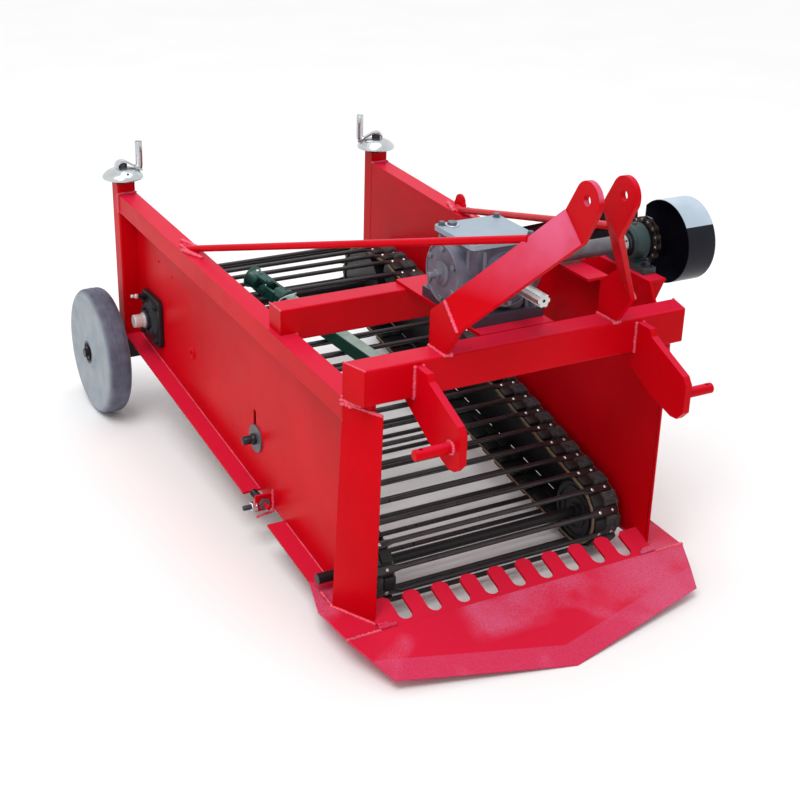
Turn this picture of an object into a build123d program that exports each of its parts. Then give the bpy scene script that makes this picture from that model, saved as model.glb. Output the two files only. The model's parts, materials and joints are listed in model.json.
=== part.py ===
"""Mounted two-wheel potato digger with a rod-web conveyor, in millimetres.

+Y points to the rear, +X to the side that carries the chain drive, Z = 0 is the floor.
The origin is under the middle of the bounding box.
"""
from build123d import *
from math import atan, cos, radians, sin
import os

os.makedirs("parts", exist_ok=True)

SIDES = (("left", -1), ("right", 1))

# Side frames
HALF_WIDTH = 500
TUBE = 60
TUBE_WALL = 4
SHEET = 5
INNER = HALF_WIDTH - TUBE
FLANGE = 6
SHEET_FRONT = -804
FLANGE_FRONT = -562
FLANGE_GAP = (-291, -124)
POST_Y = 897
POST_FRONT = POST_Y - TUBE / 2
POST_TOP = 797
POST_BOTTOM = 270
BOTTOM_FRONT_Z = 55
BOTTOM_SLOPE = 0.129
RAIL_FRONT = -742
RAIL_FRONT_TOP = 706
RAIL_SLOPE = 0.0362

# Cross beams
BEAM_FRONT = -817
BEAM_DEPTH = 75
BEAM_TOP = 800
BEAM_BOTTOM = 704
BEAM_HALF_FRONT = 480
BEAM_HALF_REAR = 500
REAR_BEAM_FRONT = -358
REAR_BEAM_DEPTH = 70
REAR_BEAM_TOP = 790
REAR_BEAM_BOTTOM = 698
REAR_BEAM_HALF = 485

# Three-point hitch
HITCH_OUT = 341.5
HITCH_PLATE = 20
PIN_Y = -993
PIN_Z = 650
PIN_R = 14
PIN_LENGTH = 100
MAST_X = 262
MAST_PLATE = 14
EAR_OUT = 58
EAR_PLATE = 14
EAR_Y = -1061
EAR_Z = 1232
EAR_R = 45
EAR_HOLE_R = 12.75

# Gearbox and side drive
AXIS_Y = -570
AXIS_Z = 909
GEARBOX_HALF = 95
GEARBOX_FRONT = -660
GEARBOX_REAR = -476
GEARBOX_TOP = 1008
FOOT_TOP = 828
SPLINE_R = 17.5
SPLINE_END = -846
OUTPUT_R = 20
TUBE_R = 24
CHAIN_X = 520
CHAIN_PITCH = 25.4
FRONT_TEETH = 14
REAR_TEETH = 17

# Web conveyor: each roller as (y, z, radius of the belt's middle)
FRONT_ROLLER = (-618, 125, 94)
CARRIER_ROLLER = (542, 465, 45)
REAR_ROLLER = (717, 375, 130)
BELT = 8
BELT_IN = 322
BELT_OUT = 412
ROD_R = 6
ROD_HALF = 408
ROD_COUNT = 48
FLAT_WIDTH = 24
FLAT_THICK = 5

# Wheels
WHEEL_R = 215
WHEEL_IN = 540
WHEEL_OUT = 623
HUB_OUT = WHEEL_OUT - 12
SHOULDER = (0, 6.5, 22)
AXLE_R = 15
AXLE_END = 640
LEG = 48

# Share
SHARE_TIP = -1112
SHARE_REAR = -857
SHARE_CORNER = (477, -1000)
SHARE_HALF = 534
SHARE_THICK = 10
SHARE_SLOPE = 0.306
BEVEL_WIDTH = 62
COMB_TIP = -763
COMB_ROOT = -842
SLOT_PITCH = 88
SLOT_COUNT = 9
SLOT = 40


def write(piece, name):
    """Label a finished piece and write it as one STEP file."""
    piece.part.label = name
    export_step(piece.part, f"parts/{name}.step")


def outline(points):
    """Fill a closed outline of straight lines on the current sketch."""
    with BuildLine() as edge:
        Polyline(*points, close=True)
    make_face(edge.edges())


def across(s, near, far):
    """Plane and thickness of a plate that stands between two X distances on side s."""
    start = min(s * near, s * far)
    return Plane.YZ.offset(start), abs(far - near)


def bottom_z(y):
    return BOTTOM_FRONT_Z + (y - SHEET_FRONT) * BOTTOM_SLOPE


def rail_top(y):
    return RAIL_FRONT_TOP + (y - RAIL_FRONT) * RAIL_SLOPE


# Side sheets with their bottom flange, screw bracket and bores
for side, s in SIDES:
    sheet_plane, sheet_thick = across(s, INNER, INNER + SHEET)
    flange_plane, flange_width = across(s, INNER, HALF_WIDTH)
    with BuildPart() as sheet:
        with BuildSketch(sheet_plane):
            outline([
                (SHEET_FRONT, 86), (SHEET_FRONT, BEAM_BOTTOM), (RAIL_FRONT, BEAM_BOTTOM),
                (RAIL_FRONT, rail_top(RAIL_FRONT) - TUBE), (POST_FRONT, rail_top(POST_FRONT) - TUBE),
                (POST_FRONT, bottom_z(POST_FRONT) - FLANGE), (FLANGE_FRONT, bottom_z(FLANGE_FRONT) - FLANGE),
                (FLANGE_FRONT, 86),
            ])
            with Locations(REAR_ROLLER[:2]):
                Circle(21, mode=Mode.SUBTRACT)
            with Locations(FRONT_ROLLER[:2]):
                Circle(15, mode=Mode.SUBTRACT)
            with Locations((-90, 330)):
                SlotCenterToCenter(90, 18, rotation=90, mode=Mode.SUBTRACT)
            with Locations((388, 375)):
                Circle(6, mode=Mode.SUBTRACT)
        extrude(amount=sheet_thick)
        with BuildSketch(flange_plane):
            for y1, y2 in ((FLANGE_GAP[1], POST_FRONT), (FLANGE_FRONT, FLANGE_GAP[0])):
                outline([
                    (y1, bottom_z(y1)), (y2, bottom_z(y2)),
                    (y2, bottom_z(y2) - FLANGE), (y1, bottom_z(y1) - FLANGE),
                ])
            outline([(-212, 122), (-204, 122), (-204, 172), (-212, 172)])
        extrude(amount=flange_width)
        with BuildSketch(Plane.XZ.offset(140)):
            with Locations((s * 475, 146)):
                RegularPolygon(6, 6)
        extrude(amount=110)
    write(sheet, f"side_sheet_{side}")

# Top rails, square tubes along the sheets' upper edges
for side, s in SIDES:
    rail_plane, rail_width = across(s, INNER, HALF_WIDTH)
    bore_plane, bore_width = across(s, INNER + TUBE_WALL, HALF_WIDTH - TUBE_WALL)
    with BuildPart() as rail:
        for plane, width, wall, mode in (
            (rail_plane, rail_width, 0, Mode.ADD), (bore_plane, bore_width, TUBE_WALL, Mode.SUBTRACT),
        ):
            with BuildSketch(plane):
                outline([
                    (RAIL_FRONT, rail_top(RAIL_FRONT) - wall), (POST_FRONT, rail_top(POST_FRONT) - wall),
                    (POST_FRONT, rail_top(POST_FRONT) - TUBE + wall),
                    (RAIL_FRONT, rail_top(RAIL_FRONT) - TUBE + wall),
                ])
            extrude(amount=width, mode=mode)
    write(rail, f"top_rail_{side}")

# Rear posts, open square tubes in which the wheel legs slide
for side, s in SIDES:
    with BuildPart() as post:
        with BuildSketch(Plane.XY.offset(POST_BOTTOM)):
            with Locations((s * (HALF_WIDTH - TUBE / 2), POST_Y)):
                RectangleRounded(TUBE, TUBE, 6)
                Rectangle(TUBE - 10, TUBE - 10, mode=Mode.SUBTRACT)
        extrude(amount=POST_TOP - POST_BOTTOM)
    write(post, f"rear_post_{side}")

# Slanted plates that close the front of each side channel
for side, s in SIDES:
    with BuildPart() as closing:
        with BuildSketch(Plane.XY.offset(86)):
            outline([
                (s * INNER, SHEET_FRONT), (s * INNER, -823), (s * (INNER + 6), -823),
                (s * HALF_WIDTH, -777), (s * HALF_WIDTH, -768), (s * (INNER + 8), SHEET_FRONT),
            ])
        extrude(amount=BEAM_BOTTOM - 86)
    write(closing, f"front_plate_{side}")

# Front beam, its ends cut oblique
with BuildPart() as front_beam:
    with BuildSketch(Plane.XY.offset(BEAM_BOTTOM)):
        outline([
            (-BEAM_HALF_FRONT, BEAM_FRONT), (BEAM_HALF_FRONT, BEAM_FRONT),
            (BEAM_HALF_REAR, BEAM_FRONT + BEAM_DEPTH), (-BEAM_HALF_REAR, BEAM_FRONT + BEAM_DEPTH),
        ])
    extrude(amount=BEAM_TOP - BEAM_BOTTOM)
    fillet(front_beam.edges().filter_by(Axis.X), 6)
write(front_beam, "front_beam")

# Rear beam, notched over the two rails
with BuildPart() as rear_beam:
    with BuildSketch(Plane.XY.offset(REAR_BEAM_BOTTOM)):
        with Locations((0, REAR_BEAM_FRONT + REAR_BEAM_DEPTH / 2)):
            Rectangle(2 * REAR_BEAM_HALF, REAR_BEAM_DEPTH)
    extrude(amount=REAR_BEAM_TOP - REAR_BEAM_BOTTOM)
    fillet(rear_beam.edges().filter_by(Axis.X), 6)
    for side, s in SIDES:
        notch_plane, notch_width = across(s, INNER, HALF_WIDTH)
        with BuildSketch(notch_plane):
            outline([
                (RAIL_FRONT, REAR_BEAM_BOTTOM - 20), (RAIL_FRONT, rail_top(RAIL_FRONT)),
                (POST_FRONT, rail_top(POST_FRONT)), (POST_FRONT, REAR_BEAM_BOTTOM - 20),
            ])
        extrude(amount=notch_width, mode=Mode.SUBTRACT)
write(rear_beam, "rear_beam")

# Round tie between the rear posts
with BuildPart() as rear_tie:
    with BuildSketch(Plane.YZ.offset(-INNER)):
        with Locations((POST_Y, POST_BOTTOM + 30)):
            Circle(20)
            Circle(16, mode=Mode.SUBTRACT)
    extrude(amount=2 * INNER)
write(rear_tie, "rear_tie")

# Lower hitch plates with their pins
for side, s in SIDES:
    plate_plane, plate_thick = across(s, HITCH_OUT - HITCH_PLATE, HITCH_OUT)
    with BuildPart() as hitch:
        with BuildSketch(plate_plane):
            outline([
                (-766, BEAM_BOTTOM), (BEAM_FRONT, BEAM_BOTTOM), (BEAM_FRONT, 788), (-872, 788),
                (-880, 770), (-1018, 712), (-1032, 692), (-1032, 616), (-1010, 592), (-985, 590),
                (-898, 615), (-766, 684),
            ])
        extrude(amount=plate_thick)
    write(hitch, f"hitch_plate_{side}")
    with BuildPart() as pin:
        with BuildSketch(across(s, HITCH_OUT, HITCH_OUT + PIN_LENGTH)[0]):
            with Locations((PIN_Y, PIN_Z)):
                Circle(PIN_R)
        extrude(amount=PIN_LENGTH)
        chamfer(pin.faces().sort_by(Axis.X)[-1 if s > 0 else 0].edges(), 2)
        with Locations(Location((s * (HITCH_OUT + PIN_LENGTH - 18), PIN_Y, PIN_Z))):
            Cylinder(5.5, 3 * PIN_R, mode=Mode.SUBTRACT)
    write(pin, f"hitch_pin_{side}")

# Mast: each arm is a flat bar that stands on the front beam and leans in to its ear
BAR_REAR = (-807, 942)
BAR_FRONT = (-872, 880)
BAR_END_REAR = (-983, 1190)
BAR_END_FRONT = (-1055, 1127)


def bar_section(x_out, x_in, rear, front):
    """Cross-section of a mast bar between its rear and front corner points."""
    corners = [(x_out, *rear), (x_out, *front), (x_in, *front), (x_in, *rear)]
    return Face(Wire.make_polygon([Vector(*corner) for corner in corners]))


mast_arms = {}
for side, s in SIDES:
    foot_plane, foot_thick = across(s, MAST_X - MAST_PLATE, MAST_X)
    crease = bar_section(s * MAST_X, s * (MAST_X - MAST_PLATE), BAR_REAR, BAR_FRONT)
    bar_end = bar_section(s * (EAR_OUT + 4), s * (EAR_OUT - EAR_PLATE), BAR_END_REAR, BAR_END_FRONT)
    with BuildPart() as arm:
        with BuildSketch(foot_plane):
            outline([
                (BEAM_FRONT + BEAM_DEPTH, BEAM_TOP), (BEAM_FRONT, BEAM_TOP), BAR_FRONT, BAR_REAR,
                (BEAM_FRONT + BEAM_DEPTH, 892),
            ])
        extrude(amount=foot_thick)
        loft([crease, bar_end], ruled=True)
        ear_plane, ear_thick = across(s, EAR_OUT - EAR_PLATE, EAR_OUT)
        with BuildSketch(ear_plane):
            with BuildLine() as ear_edge:
                ear_top = CenterArc((EAR_Y, EAR_Z), EAR_R, 31.2, 177.4)
                Polyline(ear_top @ 1, BAR_END_FRONT, BAR_END_REAR, ear_top @ 0)
            make_face()
            with Locations((EAR_Y, EAR_Z)):
                Circle(EAR_HOLE_R, mode=Mode.SUBTRACT)
        extrude(amount=ear_thick)
    write(arm, f"mast_arm_{side}")
    mast_arms[side] = arm.part

# Round braces from the rails to the rear edges of the mast bars, cut to fit both
BRACE_R = 10
BRACE_FOOT_Y = 320
BRACE_TOP = (118, -932, 1112)
RAIL_FACE = Plane(origin=(0, BRACE_FOOT_Y, rail_top(BRACE_FOOT_Y)), z_dir=(0, -RAIL_SLOPE, 1))
for side, s in SIDES:
    low = Vector(s * 470, BRACE_FOOT_Y, rail_top(BRACE_FOOT_Y))
    high = Vector(s * BRACE_TOP[0], *BRACE_TOP[1:])
    run = high - low
    with BuildPart() as brace:
        with BuildSketch(Plane(origin=low - run.normalized() * 4 * BRACE_R, z_dir=run)):
            Circle(BRACE_R)
        extrude(amount=run.length + 4 * BRACE_R)
        split(bisect_by=RAIL_FACE, keep=Keep.TOP)
        add(mast_arms[side], mode=Mode.SUBTRACT)
    write(brace, f"brace_{side}")

# Deck between the beams, and the gearbox on it
with BuildPart() as deck:
    with BuildSketch(Plane.XY.offset(REAR_BEAM_TOP)):
        outline([(-110, RAIL_FRONT), (110, RAIL_FRONT), (110, -300), (-110, -300)])
    extrude(amount=BEAM_TOP - REAR_BEAM_TOP)
write(deck, "gearbox_deck")

GEARBOX_Y = (GEARBOX_FRONT + GEARBOX_REAR) / 2
GEARBOX_LENGTH = GEARBOX_REAR - GEARBOX_FRONT
LID = 14
SIDE_CAP_R = 82
FRONT_CAP_R = 70
CAP_REACH = 32
NECK_R = 34
with BuildPart() as housing:
    with BuildSketch(Plane.XY.offset(BEAM_TOP)):
        with Locations((0, GEARBOX_Y)):
            Rectangle(2 * GEARBOX_HALF + 20, GEARBOX_LENGTH + 80)
    extrude(amount=FOOT_TOP - BEAM_TOP)
    with BuildSketch(Plane.XY.offset(FOOT_TOP)):
        with Locations((0, GEARBOX_Y)):
            Rectangle(2 * GEARBOX_HALF, GEARBOX_LENGTH)
        chamfer(vertices(), 16)
    extrude(amount=GEARBOX_TOP - LID - FOOT_TOP)
    for side, s in SIDES:
        cap_plane, cap_depth = across(s, GEARBOX_HALF - 10, GEARBOX_HALF + CAP_REACH)
        with BuildSketch(cap_plane):
            with Locations((AXIS_Y, AXIS_Z)):
                Circle(SIDE_CAP_R)
        extrude(amount=cap_depth)
    with BuildSketch(Plane.XZ.offset(-GEARBOX_FRONT - 10)):
        with Locations((0, AXIS_Z)):
            Circle(FRONT_CAP_R)
    extrude(amount=10 + CAP_REACH)
    with BuildSketch(Plane.XZ.offset(-GEARBOX_FRONT + CAP_REACH)):
        with Locations((0, AXIS_Z)):
            Circle(NECK_R)
    extrude(amount=14)
    with BuildSketch(Plane.XZ.offset(-GEARBOX_FRONT)):
        with Locations((0, AXIS_Z)):
            Circle(SPLINE_R + 2)
    extrude(amount=CAP_REACH + 14, mode=Mode.SUBTRACT)
    with BuildSketch(Plane.YZ.offset(GEARBOX_HALF)):
        with Locations((AXIS_Y, AXIS_Z)):
            Circle(OUTPUT_R)
    extrude(amount=CAP_REACH, mode=Mode.SUBTRACT)
write(housing, "gearbox_housing")

with BuildPart() as lid:
    with BuildSketch(Plane.XY.offset(GEARBOX_TOP - LID)):
        with Locations((0, GEARBOX_Y)):
            Rectangle(2 * GEARBOX_HALF + 10, GEARBOX_LENGTH + 10)
        chamfer(vertices(), 8)
    extrude(amount=LID)
    with BuildSketch(Plane.XY.offset(GEARBOX_TOP)):
        with Locations((-60, -500)):
            RegularPolygon(12, 6)
    extrude(amount=10)
write(lid, "gearbox_lid")

# Input shaft with six splines
with BuildPart() as input_shaft:
    with BuildSketch(Plane.XZ.offset(-GEARBOX_FRONT)):
        with Locations((0, AXIS_Z)):
            Circle(SPLINE_R - 2.5)
            with PolarLocations(0, 6):
                with Locations((SPLINE_R - 4, 0)):
                    Rectangle(8, 8.7)
            Circle(4, mode=Mode.SUBTRACT)
    extrude(amount=GEARBOX_FRONT - SPLINE_END)
write(input_shaft, "input_shaft")


def sprocket(teeth, bore, centre):
    """Toothed disc of the drive chain, on the current sketch."""
    radius = CHAIN_PITCH / (2 * sin(radians(180 / teeth)))
    root, tip = radius - 8, radius + 7
    with Locations(centre):
        RegularPolygon(root, 2 * teeth)
        with PolarLocations(0, teeth):
            Polygon((root - 4, -8), (radius, -5), (tip, -2), (tip, 2), (radius, 5), (root - 4, 8), align=None)
        Circle(bore, mode=Mode.SUBTRACT)


# Side drive: output shaft, its bearing and bracket, two sprockets and the chain
with BuildPart() as output_shaft:
    with BuildSketch(Plane.YZ.offset(GEARBOX_HALF)):
        with Locations((AXIS_Y, AXIS_Z)):
            Circle(OUTPUT_R)
    extrude(amount=CHAIN_X + 14 - GEARBOX_HALF)
    with BuildSketch(Plane.YZ.offset(GEARBOX_HALF + CAP_REACH)):
        with Locations((AXIS_Y, AXIS_Z)):
            Circle(TUBE_R)
    extrude(amount=430 - GEARBOX_HALF - CAP_REACH)
    with BuildSketch(Plane.YZ.offset(430)):
        with Locations((AXIS_Y, AXIS_Z)):
            Circle(30)
    extrude(amount=26)
write(output_shaft, "output_shaft")

BLOCK_BASE = 842
BLOCK_IN = 460
BRACKET_OUT = 503
with BuildPart() as block:
    with BuildSketch(Plane.YZ.offset(BLOCK_IN)):
        with Locations((AXIS_Y, AXIS_Z)):
            Circle(52)
        with Locations((AXIS_Y, (BLOCK_BASE + AXIS_Z) / 2)):
            Rectangle(70, AXIS_Z - BLOCK_BASE)
        with Locations((AXIS_Y, BLOCK_BASE + 9)):
            Rectangle(170, 18)
        with Locations((AXIS_Y, AXIS_Z)):
            Circle(OUTPUT_R, mode=Mode.SUBTRACT)
    extrude(amount=42)
write(block, "pillow_block")

with BuildPart() as drive_bracket:
    with BuildSketch(Plane.XY.offset(BLOCK_BASE - 8)):
        outline([(446, -700), (BRACKET_OUT, -700), (BRACKET_OUT, -440), (446, -440)])
    extrude(amount=8)
    with BuildSketch(Plane.YZ.offset(446)):
        outline([
            (RAIL_FRONT, BEAM_TOP - 30), (-700, BLOCK_BASE), (-440, BLOCK_BASE), (REAR_BEAM_FRONT, 760),
            (REAR_BEAM_FRONT, rail_top(REAR_BEAM_FRONT)), (RAIL_FRONT, rail_top(RAIL_FRONT)),
        ])
    extrude(amount=8)
    with BuildSketch(Plane.XZ.offset(696)):
        outline([(446, 720), (BRACKET_OUT, BLOCK_BASE - 8), (446, BLOCK_BASE - 8)])
    extrude(amount=-6)
write(drive_bracket, "drive_bracket")

with BuildPart() as shaft_support:
    with BuildSketch(Plane.YZ.offset(300)):
        outline([
            (RAIL_FRONT, BEAM_BOTTOM + 40), (RAIL_FRONT, 850), (-700, 880), (-470, 880),
            (REAR_BEAM_FRONT, 800), (REAR_BEAM_FRONT, BEAM_BOTTOM + 40),
        ])
    extrude(amount=8)
    with BuildSketch(Plane.XY.offset(872)):
        outline([(240, -700), (308, -700), (308, -470), (240, -470)])
    extrude(amount=8)
write(shaft_support, "shaft_support")

for name, teeth, bore, centre in (
    ("front_sprocket", FRONT_TEETH, OUTPUT_R, (AXIS_Y, AXIS_Z)),
    ("rear_sprocket", REAR_TEETH, OUTPUT_R, REAR_ROLLER[:2]),
):
    with BuildPart() as wheel:
        with BuildSketch(Plane.YZ.offset(CHAIN_X - 4)):
            sprocket(teeth, bore, centre)
        extrude(amount=8)
    write(wheel, name)


def around(first, second, grow):
    """Closed outline around two wheels (y, z, radius), grown outward, on the current sketch."""
    for y, z, radius in (first, second):
        with Locations((y, z)):
            Circle(radius + grow)
    make_hull()


FRONT_PITCH_R = CHAIN_PITCH / (2 * sin(radians(180 / FRONT_TEETH)))
REAR_PITCH_R = CHAIN_PITCH / (2 * sin(radians(180 / REAR_TEETH)))
FRONT_CHAIN = (AXIS_Y, AXIS_Z, FRONT_PITCH_R)
REAR_CHAIN = (*REAR_ROLLER[:2], REAR_PITCH_R)

# The chain straddles both sprockets, seated on the tips of their teeth
with BuildPart() as chain:
    with BuildSketch(Plane.YZ.offset(CHAIN_X - 9)):
        around(FRONT_CHAIN, REAR_CHAIN, 8)
    extrude(amount=18)
    with BuildSketch(Plane.YZ.offset(CHAIN_X - 9)):
        around(FRONT_CHAIN, REAR_CHAIN, -8)
    extrude(amount=18, mode=Mode.SUBTRACT)
    with BuildSketch(Plane.YZ.offset(CHAIN_X - 4)):
        for y, z, radius in (FRONT_CHAIN, REAR_CHAIN):
            with Locations((y, z)):
                Circle(radius + 7)
    extrude(amount=8, mode=Mode.SUBTRACT)
write(chain, "drive_chain")

# Chain guard: a drum open toward the bearing, then a narrow casing back to the rear sprocket
GUARD_IN = 506
CASING_OUT = 534
GUARD_OUT = 640
GUARD_SHEET = 3
DRUM = (-612, 913, 115)
CASING = (*REAR_ROLLER[:2], 90)
DRUM_REAR = -530
with BuildPart() as guard:
    with BuildSketch(Plane.YZ.offset(GUARD_IN)):
        around(DRUM, CASING, 0)
    extrude(amount=CASING_OUT - GUARD_IN)
    with BuildSketch(Plane.YZ.offset(CASING_OUT)):
        with Locations(DRUM[:2]):
            Circle(DRUM[2])
        with Locations((DRUM_REAR + DRUM[2], DRUM[1])):
            Rectangle(2 * DRUM[2], 2 * DRUM[2], mode=Mode.SUBTRACT)
    extrude(amount=GUARD_OUT - CASING_OUT)
    with BuildSketch(Plane.YZ.offset(GUARD_IN)):
        around(DRUM, CASING, -GUARD_SHEET)
    extrude(amount=CASING_OUT - GUARD_IN - GUARD_SHEET, mode=Mode.SUBTRACT)
    with BuildSketch(Plane.YZ.offset(GUARD_IN)):
        with Locations(DRUM[:2]):
            Circle(DRUM[2] - GUARD_SHEET)
        with Locations((DRUM_REAR - GUARD_SHEET + DRUM[2], DRUM[1])):
            Rectangle(2 * DRUM[2], 2 * DRUM[2], mode=Mode.SUBTRACT)
    extrude(amount=GUARD_OUT - GUARD_IN - GUARD_SHEET, mode=Mode.SUBTRACT)
    for y, z, reach in ((-415, rail_top(-400), 470), (115, 726, HALF_WIDTH)):
        with BuildSketch(Plane.XY.offset(z)):
            with Locations(((reach + GUARD_IN + 6) / 2, y)):
                Rectangle(GUARD_IN + 6 - reach, 30)
        extrude(amount=8)
write(guard, "chain_guard")

# Share: one sloping blade with a pointed front edge, and side wings level with the flanges
SHARE_ANGLE = atan(SHARE_SLOPE)
SHARE_PLANE = Plane(
    origin=(0, SHARE_TIP, 0), x_dir=(1, 0, 0), z_dir=(0, -sin(SHARE_ANGLE), cos(SHARE_ANGLE)),
)


def along(y):
    """Distance up the share's slope from its tip line to the length position y."""
    return (y - SHARE_TIP) / cos(SHARE_ANGLE)


SHARE_BACK = Plane.XZ.offset(-SHARE_REAR)
with BuildPart() as share:
    with BuildSketch(SHARE_PLANE):
        outline([
            (0, 0), (SHARE_CORNER[0], along(SHARE_CORNER[1])), (SHARE_HALF, along(SHARE_REAR)),
            (SHARE_HALF, along(SHARE_REAR) + SHARE_THICK), (-SHARE_HALF, along(SHARE_REAR) + SHARE_THICK),
            (-SHARE_HALF, along(SHARE_REAR)), (-SHARE_CORNER[0], along(SHARE_CORNER[1])),
        ])
    extrude(amount=SHARE_THICK)
    split(bisect_by=SHARE_BACK, keep=Keep.TOP)
    top = share.faces().sort_by(lambda face: face.normal_at().dot(SHARE_PLANE.z_dir))[-1]
    chamfer(top.edges().sort_by(Axis.Y)[:2], SHARE_THICK - 3, BEVEL_WIDTH)
write(share, "share_blade")

with BuildPart() as comb:
    with BuildSketch(SHARE_PLANE.offset(1)):
        with Locations((0, (along(SHARE_REAR) + along(COMB_TIP)) / 2)):
            Rectangle(2 * INNER, along(COMB_TIP) - along(SHARE_REAR) + SHARE_THICK)
        with Locations((0, along(COMB_TIP) + SHARE_THICK)):
            with GridLocations(SLOT_PITCH, 1, SLOT_COUNT, 1):
                SlotOverall(2 * (along(COMB_TIP) + SHARE_THICK - along(COMB_ROOT)), SLOT, rotation=90,
                            mode=Mode.SUBTRACT)
        tips = vertices().group_by(Axis.Y)[-1].sort_by(Axis.X)[1:-1]
        chamfer(tips, 12)
    extrude(amount=SHARE_THICK - 2)
    split(bisect_by=SHARE_BACK, keep=Keep.BOTTOM)
write(comb, "share_comb")

WING_TOP = 86
WING_OUT = 541
for side, s in SIDES:
    with BuildPart() as wing:
        with BuildSketch(Plane.XY.offset(WING_TOP - 8)):
            outline([
                (s * INNER, FLANGE_FRONT), (s * HALF_WIDTH, FLANGE_FRONT), (s * WING_OUT, -700),
                (s * SHARE_HALF, SHARE_REAR), (s * INNER, SHARE_REAR),
            ])
        extrude(amount=8)
    write(wing, f"side_wing_{side}")

# Rollers that carry the web: two discs on a cross shaft each
for name, (y, z, radius), shaft_r, reach_left, reach_right, disc in (
    ("front_roller", FRONT_ROLLER, 15, 504, 504, (327, 407)),
    ("carrier_roller", CARRIER_ROLLER, 10, INNER, INNER, (340, 395)),
    ("drive_shaft", REAR_ROLLER, 20, 520, CHAIN_X + 8, (327, 407)),
):
    with BuildPart() as roller:
        with BuildSketch(Plane.YZ.offset(-reach_left)):
            with Locations((y, z)):
                Circle(shaft_r)
        extrude(amount=reach_left + reach_right)
        for side, s in SIDES:
            disc_plane, disc_width = across(s, *disc)
            with BuildSketch(disc_plane):
                with Locations((y, z)):
                    Circle(radius - BELT / 2)
            extrude(amount=disc_width)
    write(roller, name)


def web_outline(grow):
    """Closed outline of the web around its three rollers, on the current sketch."""
    for y, z, radius in (FRONT_ROLLER, CARRIER_ROLLER, REAR_ROLLER):
        with Locations((y, z)):
            Circle(radius + grow)
    make_hull()


# The rods lie evenly on a path just outside the belts, and lugs stand between them
ROD_OFFSET = BELT / 2 + ROD_R
with BuildSketch() as rod_path:
    web_outline(ROD_OFFSET)
PATH = rod_path.sketch.face().outer_wire()


def on_web(step, inward=0):
    """Place and turn of a point on the rod path or inward of it, at a whole or half rod step."""
    share_of_path = (step % ROD_COUNT) / ROD_COUNT
    run = PATH.tangent_at(share_of_path)
    point = PATH.position_at(share_of_path) + Vector(-run.Y, run.X, 0) * inward
    return Location((point.X, point.Y, 0), (0, 0, Vector(1, 0, 0).get_signed_angle(run, Vector(0, 0, 1))))


LUG = 38
LUG_SINK = 4
ROD_PLACES = [on_web(step) for step in range(ROD_COUNT)]
FLAT_PLACES = [on_web(step, ROD_R - FLAT_THICK / 2) for step in range(ROD_COUNT)]
LUG_PLACES = [on_web(step + 0.5, LUG_SINK / 2) for step in range(ROD_COUNT)]

for side, s in SIDES:
    belt_plane, belt_width = across(s, BELT_IN, BELT_OUT)
    with BuildPart() as belt:
        with BuildSketch(belt_plane):
            web_outline(BELT / 2)
            with Locations(*LUG_PLACES):
                Rectangle(LUG, 2 * ROD_R + LUG_SINK)
            with BuildSketch(mode=Mode.PRIVATE) as inside:
                web_outline(-BELT / 2)
            add(inside.sketch, mode=Mode.SUBTRACT)
        extrude(amount=belt_width)
    write(belt, f"web_belt_{side}")

# Rods of the web, forged flat where they lie on the belts
with BuildPart() as rods:
    with BuildSketch(Plane.YZ.offset(-BELT_IN)):
        with Locations(*ROD_PLACES):
            RegularPolygon(ROD_R, 6, rotation=30, major_radius=False)
    extrude(amount=2 * BELT_IN)
    for side, s in SIDES:
        flat_plane, flat_length = across(s, BELT_IN, ROD_HALF)
        with BuildSketch(flat_plane):
            with Locations(*FLAT_PLACES):
                Rectangle(FLAT_WIDTH, FLAT_THICK)
        extrude(amount=flat_length)
write(rods, "web_rods")

# Square flange bearings of the drive shaft
for side, s in SIDES:
    flange_plane, flange_thick = across(s, INNER + SHEET, INNER + SHEET + 14)
    hub_plane, hub_length = across(s, INNER + SHEET, INNER + SHEET + 40)
    with BuildPart() as bearing:
        with BuildSketch(flange_plane):
            with Locations(REAR_ROLLER[:2]):
                RectangleRounded(134, 134, 14)
        extrude(amount=flange_thick)
        with BuildSketch(hub_plane):
            with Locations(REAR_ROLLER[:2]):
                Circle(46)
        extrude(amount=hub_length)
        with BuildSketch(hub_plane):
            with Locations(REAR_ROLLER[:2]):
                Circle(20)
        extrude(amount=hub_length, mode=Mode.SUBTRACT)
    write(bearing, f"flange_bearing_{side}")

# Stowed power shaft, laid aslant on the web
SHAFT_REAR = Vector(-190, 500, 554)
SHAFT_FRONT = Vector(62, -245, 367)
SHAFT_RUN = SHAFT_FRONT - SHAFT_REAR
YOKE_R = 28
HUB_WIDTH = 48
EYE_R = 17
EAR_THICK = 10
CROSS_R = 9


def shaft_plane(distance):
    """Plane across the power shaft at a distance from its rear end."""
    return Plane(origin=SHAFT_REAR + SHAFT_RUN.normalized() * distance, x_dir=(0, 0, 1), z_dir=SHAFT_RUN)


JOINT_LENGTH = 160
with BuildPart() as power_tube:
    with BuildSketch(shaft_plane(JOINT_LENGTH)):
        RectangleRounded(46, 46, 5)
        Rectangle(36, 36, mode=Mode.SUBTRACT)
    extrude(amount=SHAFT_RUN.length - 2 * JOINT_LENGTH)
write(power_tube, "power_shaft_tube")

def fork_plane(distance, turn):
    """Plane along the power shaft, turned about it, whose origin is at a distance from its rear end."""
    across_shaft = shaft_plane(distance)
    return Plane(
        origin=across_shaft.origin, x_dir=across_shaft.z_dir,
        z_dir=across_shaft.x_dir.rotate(Axis((0, 0, 0), across_shaft.z_dir), turn),
    )


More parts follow.
